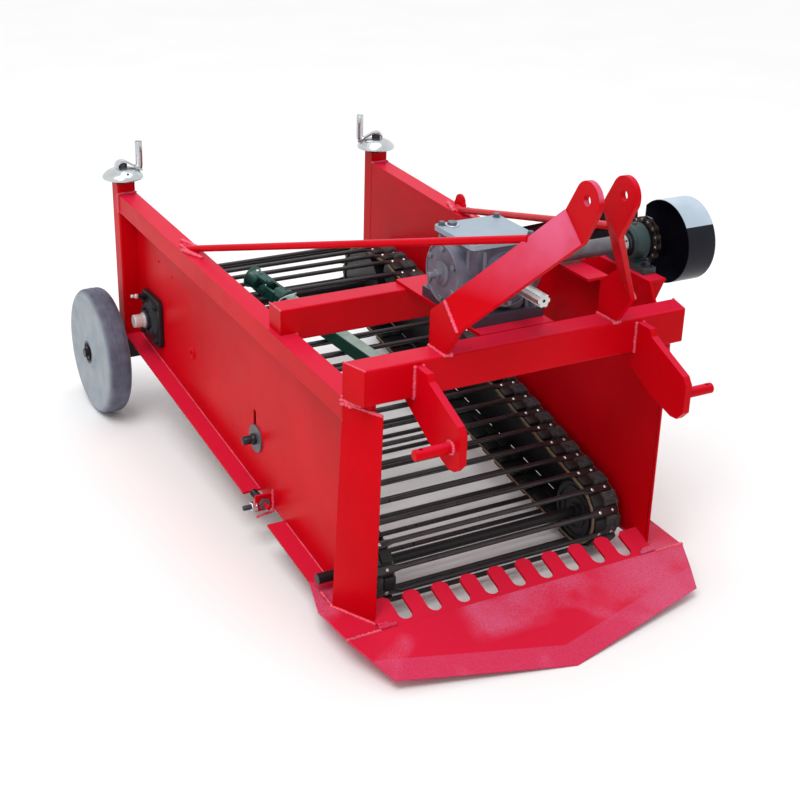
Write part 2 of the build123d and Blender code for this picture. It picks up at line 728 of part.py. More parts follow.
# Each joint has two forks at right angles, with round eyes on the arms of one cross
for name, start in (("power_joint_rear", 0), ("power_joint_front", SHAFT_RUN.length - JOINT_LENGTH)):
    centre = start + JOINT_LENGTH / 2
    with BuildPart() as joint:
        for near, far in ((start, start + 42), (start + JOINT_LENGTH - 42, start + JOINT_LENGTH)):
            with BuildSketch(shaft_plane(near)):
                Rectangle(HUB_WIDTH, HUB_WIDTH)
                chamfer(vertices(), 13)
            extrude(amount=far - near)
        for turn, reach in ((0, -1), (90, 1)):
            for face in (-YOKE_R, YOKE_R - EAR_THICK):
                with BuildSketch(fork_plane(centre, turn).offset(face)):
                    Circle(EYE_R)
                    with Locations((reach * (JOINT_LENGTH / 2 - 30) / 2, 0)):
                        Rectangle(JOINT_LENGTH / 2 - 30, 2 * EYE_R)
                extrude(amount=EAR_THICK)
            with BuildSketch(fork_plane(centre, turn).offset(-YOKE_R)):
                with Locations((reach * (JOINT_LENGTH / 2 - 36), 0)):
                    Rectangle(12, 2 * EYE_R)
            extrude(amount=2 * YOKE_R)
            with BuildSketch(fork_plane(centre, turn).offset(-YOKE_R - 1)):
                Circle(CROSS_R)
            extrude(amount=2 * YOKE_R + 2)
    write(joint, name)

# Wheel legs: square bars that slide in the rear posts, each with its axle, collar, washer and nut
COLLAR_R = 20
LEG_BOTTOM = 180
LEG_LENGTH = 580
for side, s in SIDES:
    leg_x = s * (HALF_WIDTH - TUBE / 2)
    with BuildPart() as leg:
        with BuildSketch(Plane.XY.offset(LEG_BOTTOM)):
            with Locations((leg_x, POST_Y)):
                Rectangle(LEG, LEG)
                chamfer(vertices(), 3)
        extrude(amount=LEG_LENGTH)
        for near, far, radius in (
            (abs(leg_x), WHEEL_IN - 0.5, COLLAR_R), (abs(leg_x), AXLE_END, AXLE_R),
            (HUB_OUT + 0.5, HUB_OUT + 4, 24),
        ):
            ring_plane, ring_width = across(s, near, far)
            with BuildSketch(ring_plane):
                with Locations((POST_Y, WHEEL_R)):
                    Circle(radius)
            extrude(amount=ring_width)
        nut_plane, nut_width = across(s, HUB_OUT + 4, HUB_OUT + 17)
        with BuildSketch(nut_plane):
            with Locations((POST_Y, WHEEL_R)):
                RegularPolygon(22, 6)
        extrude(amount=nut_width)
    write(leg, f"wheel_leg_{side}")

# Wheels: solid moulded tyres, dished between a rim with eased shoulders and a hub boss with a recess
BOSS_R = 50
RECESS_R = 30
DISH_R = 140
RIM_R = 160
for side, s in SIDES:
    with BuildPart() as wheel:
        with BuildSketch(Plane.XY.offset(WHEEL_R)) as half:
            with BuildLine() as rim:
                Polyline(*[(s * x, POST_Y + radius) for x, radius in (
                    *[(WHEEL_IN + cut, WHEEL_R - SHOULDER[-1 - step]) for step, cut in enumerate(SHOULDER)],
                    *[(WHEEL_OUT - cut, WHEEL_R - SHOULDER[step]) for step, cut in enumerate(SHOULDER[::-1])],
                    (WHEEL_OUT, RIM_R), (WHEEL_OUT - 6, DISH_R), (WHEEL_OUT - 6, BOSS_R + 10),
                    (WHEEL_OUT + 3, BOSS_R), (WHEEL_OUT + 3, RECESS_R), (HUB_OUT, RECESS_R),
                    (HUB_OUT, AXLE_R + 0.05), (WHEEL_IN, AXLE_R + 0.05),
                )], close=True)
            make_face()
        revolve(axis=Axis((0, POST_Y, WHEEL_R), (1, 0, 0)))
    write(wheel, f"wheel_{side}")

# Height cranks: a domed disc on each post top, with a strap across it that carries an upright handle
DISC_Z = 812
DISC_R = 66
STRAP = (32, 8)
GRIP_R = 11
GRIP_REACH = 60
GRIP_TOP = DISC_Z + 112
for (side, s), turn in zip(SIDES, (0, 150)):
    post_x = s * (HALF_WIDTH - TUBE / 2)
    arm = Plane(origin=(post_x, POST_Y, DISC_Z), x_dir=Vector(1, 0, 0).rotate(Axis.Z, turn), z_dir=(0, 0, 1))
    with BuildPart() as crank:
        with BuildSketch(Plane(origin=arm.origin, x_dir=(1, 0, 0), z_dir=(0, -1, 0))):
            outline([
                (0, 18), (18, 18), (DISC_R, -2), (DISC_R - 3, -5), (22, 11), (22, POST_TOP - DISC_Z),
                (0, POST_TOP - DISC_Z),
            ])
        revolve(axis=Axis(arm.origin, (0, 0, 1)))
        with BuildSketch(arm.offset(18)):
            with Locations((GRIP_REACH / 2 - 4, 0)):
                Rectangle(GRIP_REACH + 30, STRAP[0])
                chamfer(vertices(), 10)
        extrude(amount=STRAP[1])
        with BuildSketch(arm.offset(18 + STRAP[1])):
            RegularPolygon(11, 6)
        extrude(amount=12)
        with BuildSketch(arm.offset(18 + STRAP[1])):
            with Locations((GRIP_REACH, 0)):
                Circle(GRIP_R)
        extrude(amount=GRIP_TOP - DISC_Z - 18 - STRAP[1])
    write(crank, f"height_crank_{side}")
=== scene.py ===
"""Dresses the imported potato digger: finishes, fasteners, welds and the pieces too fine for its solids.

Lengths are in metres. +Y points to the rear, +X to the chain drive, and the floor is Z = 0.
"""
import bpy
import bmesh
import json
import math
from mathutils import Matrix, Vector


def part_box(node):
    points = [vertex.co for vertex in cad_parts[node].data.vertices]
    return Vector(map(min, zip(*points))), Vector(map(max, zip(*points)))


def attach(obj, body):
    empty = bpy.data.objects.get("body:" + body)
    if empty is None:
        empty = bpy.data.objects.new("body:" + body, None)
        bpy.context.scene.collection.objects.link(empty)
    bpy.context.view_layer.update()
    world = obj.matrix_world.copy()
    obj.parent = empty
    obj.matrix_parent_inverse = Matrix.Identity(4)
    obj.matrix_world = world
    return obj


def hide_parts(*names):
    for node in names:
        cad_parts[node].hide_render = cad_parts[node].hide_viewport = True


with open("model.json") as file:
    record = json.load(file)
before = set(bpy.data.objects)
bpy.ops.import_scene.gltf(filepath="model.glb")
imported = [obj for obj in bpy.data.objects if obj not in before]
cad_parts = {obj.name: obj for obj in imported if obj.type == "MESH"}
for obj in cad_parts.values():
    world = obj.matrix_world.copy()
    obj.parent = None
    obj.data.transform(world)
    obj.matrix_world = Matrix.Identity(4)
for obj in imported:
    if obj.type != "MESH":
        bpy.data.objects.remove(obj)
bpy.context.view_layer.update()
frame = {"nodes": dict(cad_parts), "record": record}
nodes = frame["nodes"]
scene = bpy.context.scene

SIDES = (("left", -1), ("right", 1))
X_AXIS, Y_AXIS, Z_AXIS = Vector((1, 0, 0)), Vector((0, 1, 0)), Vector((0, 0, 1))

# Measures that the finishes share with the shapes: wheels, guard drum, and top of the gearbox's foot
AXLE_Y = 0.897
WHEEL_IN, WHEEL_OUT, WHEEL_R = 0.540, 0.623, 0.215
DRUM_AT, DRUM_R = (-0.612, 0.913), 0.115
DRUM_IN, DRUM_OUT, DRUM_REAR = 0.549, 0.640, -0.530
FOOT_TOP = 0.828


# Node trees of the finishes

def finish(name, colour, roughness, metallic=0.0, coat=0.0, specular=0.5):
    """New material with its plain values on the shader's own sockets, and its shader."""
    material = bpy.data.materials.new(name)
    material.use_nodes = True
    shader = material.node_tree.nodes["Principled BSDF"]
    shader.inputs["Base Color"].default_value = (*colour, 1)
    shader.inputs["Roughness"].default_value = roughness
    shader.inputs["Metallic"].default_value = metallic
    shader.inputs["Specular IOR Level"].default_value = specular
    shader.inputs["Coat Weight"].default_value = coat
    shader.inputs["Coat Roughness"].default_value = 0.12
    return material, shader


def noise(material, scale, detail):
    """Noise on Object coordinates."""
    tree = material.node_tree
    place = tree.nodes.new("ShaderNodeTexCoord")
    grain = tree.nodes.new("ShaderNodeTexNoise")
    grain.inputs["Scale"].default_value = scale
    grain.inputs["Detail"].default_value = detail
    tree.links.new(place.outputs["Object"], grain.inputs["Vector"])
    return grain.outputs["Fac"]


def ramp(material, fac, stops):
    """Colour ramp over a field."""
    tree = material.node_tree
    node = tree.nodes.new("ShaderNodeValToRGB")
    while len(node.color_ramp.elements) < len(stops):
        node.color_ramp.elements.new(0.5)
    for element, (position, colour) in zip(node.color_ramp.elements, stops):
        element.position = position
        element.color = (*colour, 1)
    tree.links.new(fac, node.inputs["Fac"])
    return node.outputs["Color"]


def blend_colour(material, fac, first, second):
    """Mix of two colours, each a socket or a plain colour, by a field."""
    tree = material.node_tree
    node = tree.nodes.new("ShaderNodeMix")
    node.data_type = "RGBA"
    tree.links.new(fac, node.inputs["Factor"])
    for socket, colour in ((node.inputs["A"], first), (node.inputs["B"], second)):
        if isinstance(colour, tuple):
            socket.default_value = (*colour, 1)
        else:
            tree.links.new(colour, socket)
    return node.outputs["Result"]


def paint(material, shader, colour):
    """Gives the shader a colour that varies over the surface."""
    material.node_tree.links.new(colour, shader.inputs["Base Color"])


def spread(material, fac, low, high, start=0.0, stop=1.0):
    """Field mapped from start..stop to low..high and held there."""
    node = material.node_tree.nodes.new("ShaderNodeMapRange")
    node.inputs["From Min"].default_value = start
    node.inputs["From Max"].default_value = stop
    node.inputs["To Min"].default_value = low
    node.inputs["To Max"].default_value = high
    material.node_tree.links.new(fac, node.inputs["Value"])
    return node.outputs["Result"]


def product(material, first, second):
    """Product of two fields."""
    node = material.node_tree.nodes.new("ShaderNodeMath")
    node.operation = "MULTIPLY"
    material.node_tree.links.new(first, node.inputs[0])
    material.node_tree.links.new(second, node.inputs[1])
    return node.outputs["Value"]


def facing_up(material, start, stop):
    """0 on upright and under faces, 1 on faces that look up."""
    tree = material.node_tree
    surface = tree.nodes.new("ShaderNodeNewGeometry")
    split = tree.nodes.new("ShaderNodeSeparateXYZ")
    tree.links.new(surface.outputs["Normal"], split.inputs["Vector"])
    return spread(material, split.outputs["Z"], 0, 1, start, stop)


def place_along(material, axis, start, stop):
    """0 to 1 between two places along an axis of the object."""
    tree = material.node_tree
    place = tree.nodes.new("ShaderNodeTexCoord")
    split = tree.nodes.new("ShaderNodeSeparateXYZ")
    tree.links.new(place.outputs["Object"], split.inputs["Vector"])
    return spread(material, split.outputs[axis], 0, 1, start, stop)


def relief(material, shader, height, depth, edge):
    """Bump from a height field, over edges softened to a small radius."""
    tree = material.node_tree
    bump = tree.nodes.new("ShaderNodeBump")
    bump.inputs["Distance"].default_value = depth
    tree.links.new(height, bump.inputs["Height"])
    bevel = tree.nodes.new("ShaderNodeBevel")
    bevel.samples = 4
    bevel.inputs["Radius"].default_value = edge
    tree.links.new(bevel.outputs["Normal"], bump.inputs["Normal"])
    tree.links.new(bump.outputs["Normal"], shader.inputs["Normal"])


# The third red is a painted reflection of the sky, laid on faces that look up
DEEP_RED, FULL_RED, SKY_REFLECTION_RED = (0.50, 0.0004, 0.0040), (0.60, 0.0006, 0.0075), (0.62, 0.012, 0.042)
DUSTY_PINK = (0.62, 0.095, 0.19)


def speckle(material, field, start, stop):
    """A soft mask broken into the fine grains of sprayed or dusty paint."""
    grains = spread(material, noise(material, 260, 6), 0.35, 1.0, 0.42, 0.58)
    return product(material, spread(material, field, 0, 1, start, stop), grains)


def red_enamel(name="red_enamel"):
    """Gloss red with a painted reflection of the sky, paler pink where it faces up; also the start of its
    other kinds, the dusty share and the mast with its painted sheen.
    """
    material, shader = finish(name, FULL_RED, 0.29, specular=0.055)
    red = ramp(material, noise(material, 4, 5), [(0.32, DEEP_RED), (0.68, FULL_RED)])
    # Painted reflection: faces that look up turn pale pink, standing for the sky in the gloss
    red = blend_colour(material, facing_up(material, 0.5, 0.97), red, SKY_REFLECTION_RED)
    rough = spread(material, noise(material, 14, 5), 0.24, 0.40)
    material.node_tree.links.new(rough, shader.inputs["Roughness"])
    relief(material, shader, noise(material, 220, 3), 0.0004, 0.0016)
    paint(material, shader, red)
    return material, shader, red


def share_enamel():
    """Red enamel, paler pink in fine grains on the share's bevel faces, and dusted pink in patches and over
    its right end.
    """
    material, shader, red = red_enamel("dusted_share_enamel")
    # Faces that look up less steeply than the blade's top turn paler pink
    bevel = spread(material, facing_up(material, 0.925, 0.95), 0.85, 0, 0, 1)
    grains = spread(material, noise(material, 260, 6), 0.55, 1.0, 0.42, 0.58)
    red = blend_colour(material, product(material, bevel, grains), red, (0.58, 0.050, 0.125))
    patches = speckle(material, noise(material, 4.6, 2), 0.53, 0.63)
    red = blend_colour(material, patches, red, DUSTY_PINK)
    rubbed = product(material, place_along(material, 0, -0.23, -0.17), place_along(material, 0, 0.04, -0.02))
    rubbed = product(material, rubbed, place_along(material, 1, -0.985, -0.945))
    rubbed = product(material, rubbed, spread(material, noise(material, 9, 4), 0.3, 1, 0.35, 0.55))
    red = blend_colour(material, product(material, rubbed, grains), red, DUSTY_PINK)
    right_end = product(material, place_along(material, 0, 0.10, 0.34),
                        spread(material, noise(material, 6, 3), 0.2, 1, 0.38, 0.58))
    right_end = product(material, right_end, grains)
    red = blend_colour(material, right_end, red, DUSTY_PINK)
    paint(material, shader, red)
    return material


def mast_enamel_painted_sheen():
    """Red enamel with a painted sheen: pale pink on faces that look up toward the mast's top."""
    material, shader, red = red_enamel("mast_enamel_painted_sheen")
    # Painted sheen: up-facing faces near the top turn pale pink
    pale = product(material, place_along(material, 2, 0.96, 1.15),
                   spread(material, noise(material, 7, 3), 0.45, 1, 0.35, 0.6))
    pale = product(material, pale, facing_up(material, 0.10, 0.40))
    red = blend_colour(material, pale, red, (0.66, 0.11, 0.21))
    paint(material, shader, red)
    return material


def plain(name, colour, roughness, metallic=0.0, coat=0.0, grain=200, depth=0.0003, vary=0.25,
          specular=0.4):
    """Finish whose colour and gloss vary softly over a fine relief."""
    material, shader = finish(name, colour, roughness, metallic, coat, specular)
    darker = tuple(value * (1 - vary) for value in colour)
    lighter = tuple(min(1.0, value * (1 + vary)) for value in colour)
    tone = ramp(material, noise(material, 18, 6), [(0.3, darker), (0.7, lighter)])
    paint(material, shader, tone)
    rough = spread(material, noise(material, 40, 4), roughness - 0.08, roughness + 0.08)
    material.node_tree.links.new(rough, shader.inputs["Roughness"])
    relief(material, shader, noise(material, grain, 3), depth, 0.001)
    return material


def guard_sheet():
    """Black guard whose drum has a pale band over its top, a painted reflection of the sky."""
    material, shader = finish("guard_sheet", (0.010, 0.010, 0.016), 0.28, specular=0.14)
    drum_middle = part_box("chain_guard")[1].z - DRUM_R
    # Painted reflection: the up-facing top of the drum turns pale blue-grey
    band = product(material, facing_up(material, 0.57, 0.575),
                   place_along(material, 2, drum_middle, drum_middle + 0.01))
    band = product(material, band, place_along(material, 0, DRUM_IN - 0.0005, DRUM_IN))
    dark = ramp(material, noise(material, 9, 5), [(0.3, (0.006, 0.006, 0.011)), (0.7, (0.012, 0.012, 0.022))])
    pale = ramp(material, noise(material, 12, 7), [(0.3, (0.36, 0.44, 0.52)), (0.7, (0.46, 0.55, 0.64))])
    paint(material, shader, blend_colour(material, band, dark, pale))
    relief(material, shader, noise(material, 150, 3), 0.0003, 0.0015)
    return material


def tyre_rubber():
    """Grey rubber, darker and bluer on the tread than on the face; the darker tread is painted shade."""
    material, shader = finish("grey_tyre_rubber", (0.28, 0.31, 0.34), 0.52, specular=0.25)
    tree = material.node_tree
    place = tree.nodes.new("ShaderNodeTexCoord")
    from_axle = tree.nodes.new("ShaderNodeMapping")
    from_axle.inputs["Location"].default_value = (0, -AXLE_Y, -WHEEL_R)
    flat = tree.nodes.new("ShaderNodeVectorMath")
    flat.operation = "MULTIPLY"
    flat.inputs[1].default_value = (0, 1, 1)
    reach = tree.nodes.new("ShaderNodeVectorMath")
    reach.operation = "LENGTH"
    tree.links.new(place.outputs["Object"], from_axle.inputs["Vector"])
    tree.links.new(from_axle.outputs["Vector"], flat.inputs[0])
    tree.links.new(flat.outputs["Vector"], reach.inputs[0])
    face = ramp(material, noise(material, 16, 6), [(0.3, (0.25, 0.285, 0.32)), (0.7, (0.33, 0.37, 0.41))])
    # Painted shade: the tread is darkened all round
    tread = ramp(material, noise(material, 20, 7),
                 [(0.3, (0.055, 0.060, 0.092)), (0.7, (0.135, 0.145, 0.20))])
    edge = spread(material, reach.outputs["Value"], 0, 1, 0.198, 0.2115)
    paint(material, shader, blend_colour(material, edge, face, tread))
    relief(material, shader, noise(material, 120, 4), 0.0010, 0.003)
    return material


def green_paler_on_top():
    """Green enamel, paler where it faces up."""
    material, shader = finish("green_enamel_paler_on_top", (0.03, 0.09, 0.075), 0.34, specular=0.3)
    dark = ramp(material, noise(material, 12, 3), [(0.3, (0.006, 0.045, 0.036)), (0.7, (0.02, 0.08, 0.06))])
    pale = ramp(material, noise(material, 14, 5), [(0.3, (0.15, 0.23, 0.20)), (0.7, (0.32, 0.40, 0.36))])
    top = facing_up(material, 0.75, 0.90)
    paint(material, shader, blend_colour(material, top, dark, pale))
    return material


def housing_casting():
    """Lilac-grey casting over a dark foot."""
    material, shader = finish("gearbox_casting", (0.15, 0.15, 0.195), 0.38, specular=0.35)
    body = ramp(material, noise(material, 11, 5),
                [(0.35, (0.060, 0.055, 0.085)), (0.65, (0.185, 0.19, 0.24))])
    foot = place_along(material, 2, FOOT_TOP - 0.0002, FOOT_TOP + 0.0005)
    colour = blend_colour(material, foot, (0.040, 0.033, 0.050), body)
    paint(material, shader, colour)
    relief(material, shader, noise(material, 420, 3), 0.0008, 0.0015)
    return material


def ribbed_rubber():
    """Belt pads: dusty rubber with a moulded rib pattern across the belt."""
    material, shader = finish("ribbed_pad_rubber", (0.05, 0.048, 0.05), 0.62)
    tree = material.node_tree
    place = tree.nodes.new("ShaderNodeTexCoord")
    ribs = tree.nodes.new("ShaderNodeTexWave")
    ribs.bands_direction = "X"
    ribs.inputs["Scale"].default_value = 48
    ribs.inputs["Distortion"].default_value = 1.2
    ribs.inputs["Detail Scale"].default_value = 3
    tree.links.new(place.outputs["Object"], ribs.inputs["Vector"])
    dust = ramp(material, noise(material, 60, 6),
                [(0.35, (0.022, 0.021, 0.023)), (0.7, (0.085, 0.080, 0.082))])
    paint(material, shader, dust)
    relief(material, shader, ribs.outputs["Fac"], 0.0016, 0.0008)
    return material


RED = red_enamel()[0]
SHARE_RED = share_enamel()
# Welds: the red paint made pinker, a painted highlight of the glints on their ripples
WELD_HIGHLIGHT_PINK = plain("weld_paint_with_painted_highlight", (0.70, 0.055, 0.105), 0.28, coat=0.3, grain=90, depth=0.0008)
BLACK = plain("black_enamel", (0.010, 0.010, 0.012), 0.36, specular=0.3)
ROD_STEEL = plain("oiled_spring_steel", (0.030, 0.028, 0.031), 0.30, metallic=0.35, specular=0.5)
ZINC = plain("zinc_plate", (0.56, 0.59, 0.61), 0.24, metallic=0.95, vary=0.16, grain=60, depth=0.0006)
DARK_BOLT = plain("blued_bolts", (0.035, 0.037, 0.055), 0.32, metallic=0.6)
CAP_GREY = plain("lilac_bolts", (0.20, 0.21, 0.26), 0.35, metallic=0.3)
GREEN_PALER_ON_TOP = green_paler_on_top()
BOLT_GREY = plain("grey_bolt_steel", (0.13, 0.15, 0.18), 0.34, metallic=0.6)
GROUND_STEEL = plain("ground_steel", (0.62, 0.62, 0.62), 0.34, metallic=0.45)
LID_GREY = plain("pale_lid_casting", (0.29, 0.36, 0.43), 0.40, vary=0.06, specular=0.35)
BELTING = plain("black_belting", (0.009, 0.0085, 0.0095), 0.48, depth=0.0006, specular=0.3)
PAD = ribbed_rubber()
CANVAS = plain("tan_canvas_edge", (0.22, 0.15, 0.085), 0.85, grain=700, depth=0.0008)
TYRE = tyre_rubber()
SEAM_RUBBER = plain("seam_rubber", (0.10, 0.11, 0.15), 0.55, vary=0.4)
GREEN = plain("green_enamel", (0.008, 0.060, 0.048), 0.30, vary=0.3, specular=0.4)
CASTING = plain("lilac_grey_casting", (0.150, 0.150, 0.195), 0.38, metallic=0.15, grain=420, depth=0.0008,
                vary=0.35)
TUBE_GREY = plain("dull_grey_tube", (0.115, 0.11, 0.125), 0.40, metallic=0.2, vary=0.35)
BRIGHT = plain("machined_steel", (0.52, 0.52, 0.51), 0.28, metallic=1.0)
BLOCK_CAST = plain("grey_green_casting", (0.028, 0.052, 0.054), 0.34, grain=320, depth=0.0009, vary=0.3)
WIRE_WHITE = plain("white_wire", (0.75, 0.76, 0.78), 0.35)

FINISH = {
    "red_paint": RED, "black_paint": BLACK, "dark_steel": ROD_STEEL, "zinc": ZINC, "belt_rubber": BELTING,
    "grey_rubber": TYRE, "green_paint": GREEN, "grey_casting": CASTING, "bright_steel": BRIGHT,
    "bearing_casting": BLOCK_CAST,
}
NODE_FINISH = {
    "share_blade": SHARE_RED, "share_comb": RED, "side_wing_left": SHARE_RED, "side_wing_right": SHARE_RED,
    "mast_arm_left": mast_enamel_painted_sheen(), "mast_arm_right": RED, "gearbox_lid": LID_GREY,
    "gearbox_housing": housing_casting(),
    "output_shaft": TUBE_GREY, "power_shaft_tube": GREEN_PALER_ON_TOP, "front_roller": BLACK,
}
for row in frame["record"]["subparts"]:
    mesh = nodes[row["node"]].data
    mesh.materials.clear()
    mesh.materials.append(NODE_FINISH.get(row["node"], FINISH[row["material_slot"]]))


# Shapes in mesh code

def skin(form, rings, closed):
    """Faces between neighbouring rings of corners, and end faces where the row is open."""
    for first, second in zip(rings, rings[1:] + rings[:1] if closed else rings[1:]):
        for turn in range(len(first)):
            after = (turn + 1) % len(first)
            form.faces.new((first[turn], first[after], second[after], second[turn]))
    if not closed:
        form.faces.new(rings[0])
        form.faces.new(rings[-1][::-1])


def done(form, name, bevel=0.0, smooth=34):
    """Turns a form into a mesh: faces outward, corners eased, smooth between its sharp edges."""
    bmesh.ops.recalc_face_normals(form, faces=form.faces)
    if bevel:
        sharp = [edge for edge in form.edges if edge.calc_face_angle(0) > math.radians(34)]
        bmesh.ops.bevel(form, geom=sharp, offset=bevel, segments=2, profile=0.5, affect="EDGES",
                        clamp_overlap=True)
    for face in form.faces:
        face.smooth = True
    for edge in form.edges:
        edge.smooth = edge.calc_face_angle(0) < math.radians(smooth)
    mesh = bpy.data.meshes.new(name)
    form.to_mesh(mesh)
    form.free()
    return mesh


def lathe(form, centre, axis, profile, segments=48, closed=False):
    """Turns a profile of (distance along the axis, radius) about the axis through a centre."""
    centre, axis = Vector(centre), Vector(axis).normalized()
    side = axis.orthogonal().normalized()
    other = axis.cross(side)
    rings = []
    for along, radius in profile:
        spokes = segments if radius > 1e-6 else 1
        angles = [math.tau * step / segments for step in range(spokes)]
        rings.append([
            form.verts.new(centre + axis * along + (side * math.cos(a) + other * math.sin(a)) * radius)
            for a in angles
        ])
    for first, second in zip(rings, rings[1:] + rings[:1] if closed else rings[1:]):
        for step in range(segments):
            corners = [first[step % len(first)], first[(step + 1) % segments % len(first)],
                       second[(step + 1) % segments % len(second)], second[step % len(second)]]
            corners = list(dict.fromkeys(corners))
            if len(corners) > 2:
                form.faces.new(corners)


def disc(form, centre, axis, radius, height, segments):
    """Plain disc or stud that stands on a point."""
    lathe(form, centre, axis, [(0, 0), (0, radius), (height, radius), (height, 0)], segments)


def ring(form, centre, axis, inner, outer, height, segments):
    """Plain ring that stands on a point."""
    lathe(form, centre, axis, [(0, inner), (0, outer), (height, outer), (height, inner)], segments,
          closed=True)


def prism(form, outline, depth):
    """Flat plate of a closed outline of points, thickened by a vector."""
    near = [form.verts.new(Vector(point)) for point in outline]
    far = [form.verts.new(Vector(point) + Vector(depth)) for point in outline]
    form.faces.new(near)
    form.faces.new(far[::-1])
    for step in range(len(near)):
        after = (step + 1) % len(near)
        form.faces.new((near[step], near[after], far[after], far[step]))


def tube(form, points, radius, segments=12, closed=False):
    """Round bar along points, its ends closed."""
    points = [Vector(point) for point in points]
    count = len(points)
    side = None
    rings = []
    for step, point in enumerate(points):
        before = points[(step - 1) % count] if closed else points[max(step - 1, 0)]
        after = points[(step + 1) % count] if closed else points[min(step + 1, count - 1)]
        run = (after - before).normalized()
        side = run.orthogonal() if side is None else side - run * side.dot(run)
        side.normalize()
        other = run.cross(side)
        rings.append([
            form.verts.new(point + (side * math.cos(a) + other * math.sin(a)) * radius)
            for a in (math.tau * turn / segments for turn in range(segments))
        ])
    skin(form, rings, closed)


def corner_arc(centre, radius, start, stop, steps=6):
    """Points of an arc in a plane, from one angle in degrees to another."""
    return [
        (centre[0] + radius * math.cos(math.radians(angle)),
         centre[1] + radius * math.sin(math.radians(angle)))
        for angle in (start + (stop - start) * step / steps for step in range(steps + 1))
    ]


def rounded_outline(width, height, radius, steps=6):
    """Rectangle with round corners about the origin."""
    points = []
    for sx, sy, start in ((1, 1, 0), (-1, 1, 90), (-1, -1, 180), (1, -1, 270)):
        centre = (sx * (width / 2 - radius), sy * (height / 2 - radius))
        points += corner_arc(centre, radius, start, start + 90, steps)
    return points


def soft_path(points, radius, steps=6):
    """Polyline whose inner corners are eased by a bend of a given reach."""
    points = [Vector(point) for point in points]
    path = [points[0]]
    for before, corner, after in zip(points, points[1:], points[2:]):
        start = corner + (before - corner).normalized() * min(radius, (before - corner).length / 2)
        stop = corner + (after - corner).normalized() * min(radius, (after - corner).length / 2)
        for step in range(steps + 1):
            t = step / steps
            path.append(start * (1 - t) ** 2 + corner * 2 * t * (1 - t) + stop * t ** 2)
    return path + [points[-1]]


def piece(name, mesh, material, body="frame", replaces=()):
    """Puts a mesh into the scene as a piece of the digger on a body."""
    obj = bpy.data.objects.new(name, mesh)
    scene.collection.objects.link(obj)
    mesh.materials.clear()
    mesh.materials.append(material)
    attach(obj, body)
    if replaces:
        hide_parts(*replaces)
    return obj


# Geometry Nodes trees

def new_tree(name, sockets):
    """Empty tree with a geometry input and output and named inputs."""
    tree = bpy.data.node_groups.new(name, "GeometryNodeTree")
    tree.interface.new_socket("Geometry", in_out="INPUT", socket_type="NodeSocketGeometry")
    for label, kind in sockets:
        tree.interface.new_socket(label, in_out="INPUT", socket_type=kind)
    tree.interface.new_socket("Geometry", in_out="OUTPUT", socket_type="NodeSocketGeometry")
    return tree, tree.nodes.new("NodeGroupInput"), tree.nodes.new("NodeGroupOutput")


def close_tree(tree, given, result, geometry):
    """Ends a tree in Realize Instances and Set Material."""
    real = tree.nodes.new("GeometryNodeRealizeInstances")
    dress = tree.nodes.new("GeometryNodeSetMaterial")
    tree.links.new(geometry, real.inputs["Geometry"])
    tree.links.new(real.outputs["Geometry"], dress.inputs["Geometry"])
    tree.links.new(given.outputs["Finish"], dress.inputs["Material"])
    tree.links.new(dress.outputs["Geometry"], result.inputs["Geometry"])


def attribute(tree, name):
    """Vector kept on each point of the seed mesh."""
    node = tree.nodes.new("GeometryNodeInputNamedAttribute")
    node.data_type = "FLOAT_VECTOR"
    node.inputs["Name"].default_value = name
    return node.outputs["Attribute"]


def copies_tree():
    """A copy of one shape on each point, turned and sized by the point."""
    tree, given, result = new_tree(
        "placed_copies", [("Shape", "NodeSocketObject"), ("Scale", "NodeSocketFloat"),
                          ("Finish", "NodeSocketMaterial")])
    shape = tree.nodes.new("GeometryNodeObjectInfo")
    turn = tree.nodes.new("FunctionNodeEulerToRotation")
    size = tree.nodes.new("ShaderNodeVectorMath")
    size.operation = "SCALE"
    place = tree.nodes.new("GeometryNodeInstanceOnPoints")
    tree.links.new(given.outputs["Shape"], shape.inputs["Object"])
    tree.links.new(attribute(tree, "turn"), turn.inputs["Euler"])
    tree.links.new(attribute(tree, "size"), size.inputs["Vector"])
    tree.links.new(given.outputs["Scale"], size.inputs["Scale"])
    tree.links.new(given.outputs["Geometry"], place.inputs["Points"])
    tree.links.new(shape.outputs["Geometry"], place.inputs["Instance"])
    tree.links.new(turn.outputs["Rotation"], place.inputs["Rotation"])
    tree.links.new(size.outputs["Vector"], place.inputs["Scale"])
    close_tree(tree, given, result, place.outputs["Instances"])
    return tree


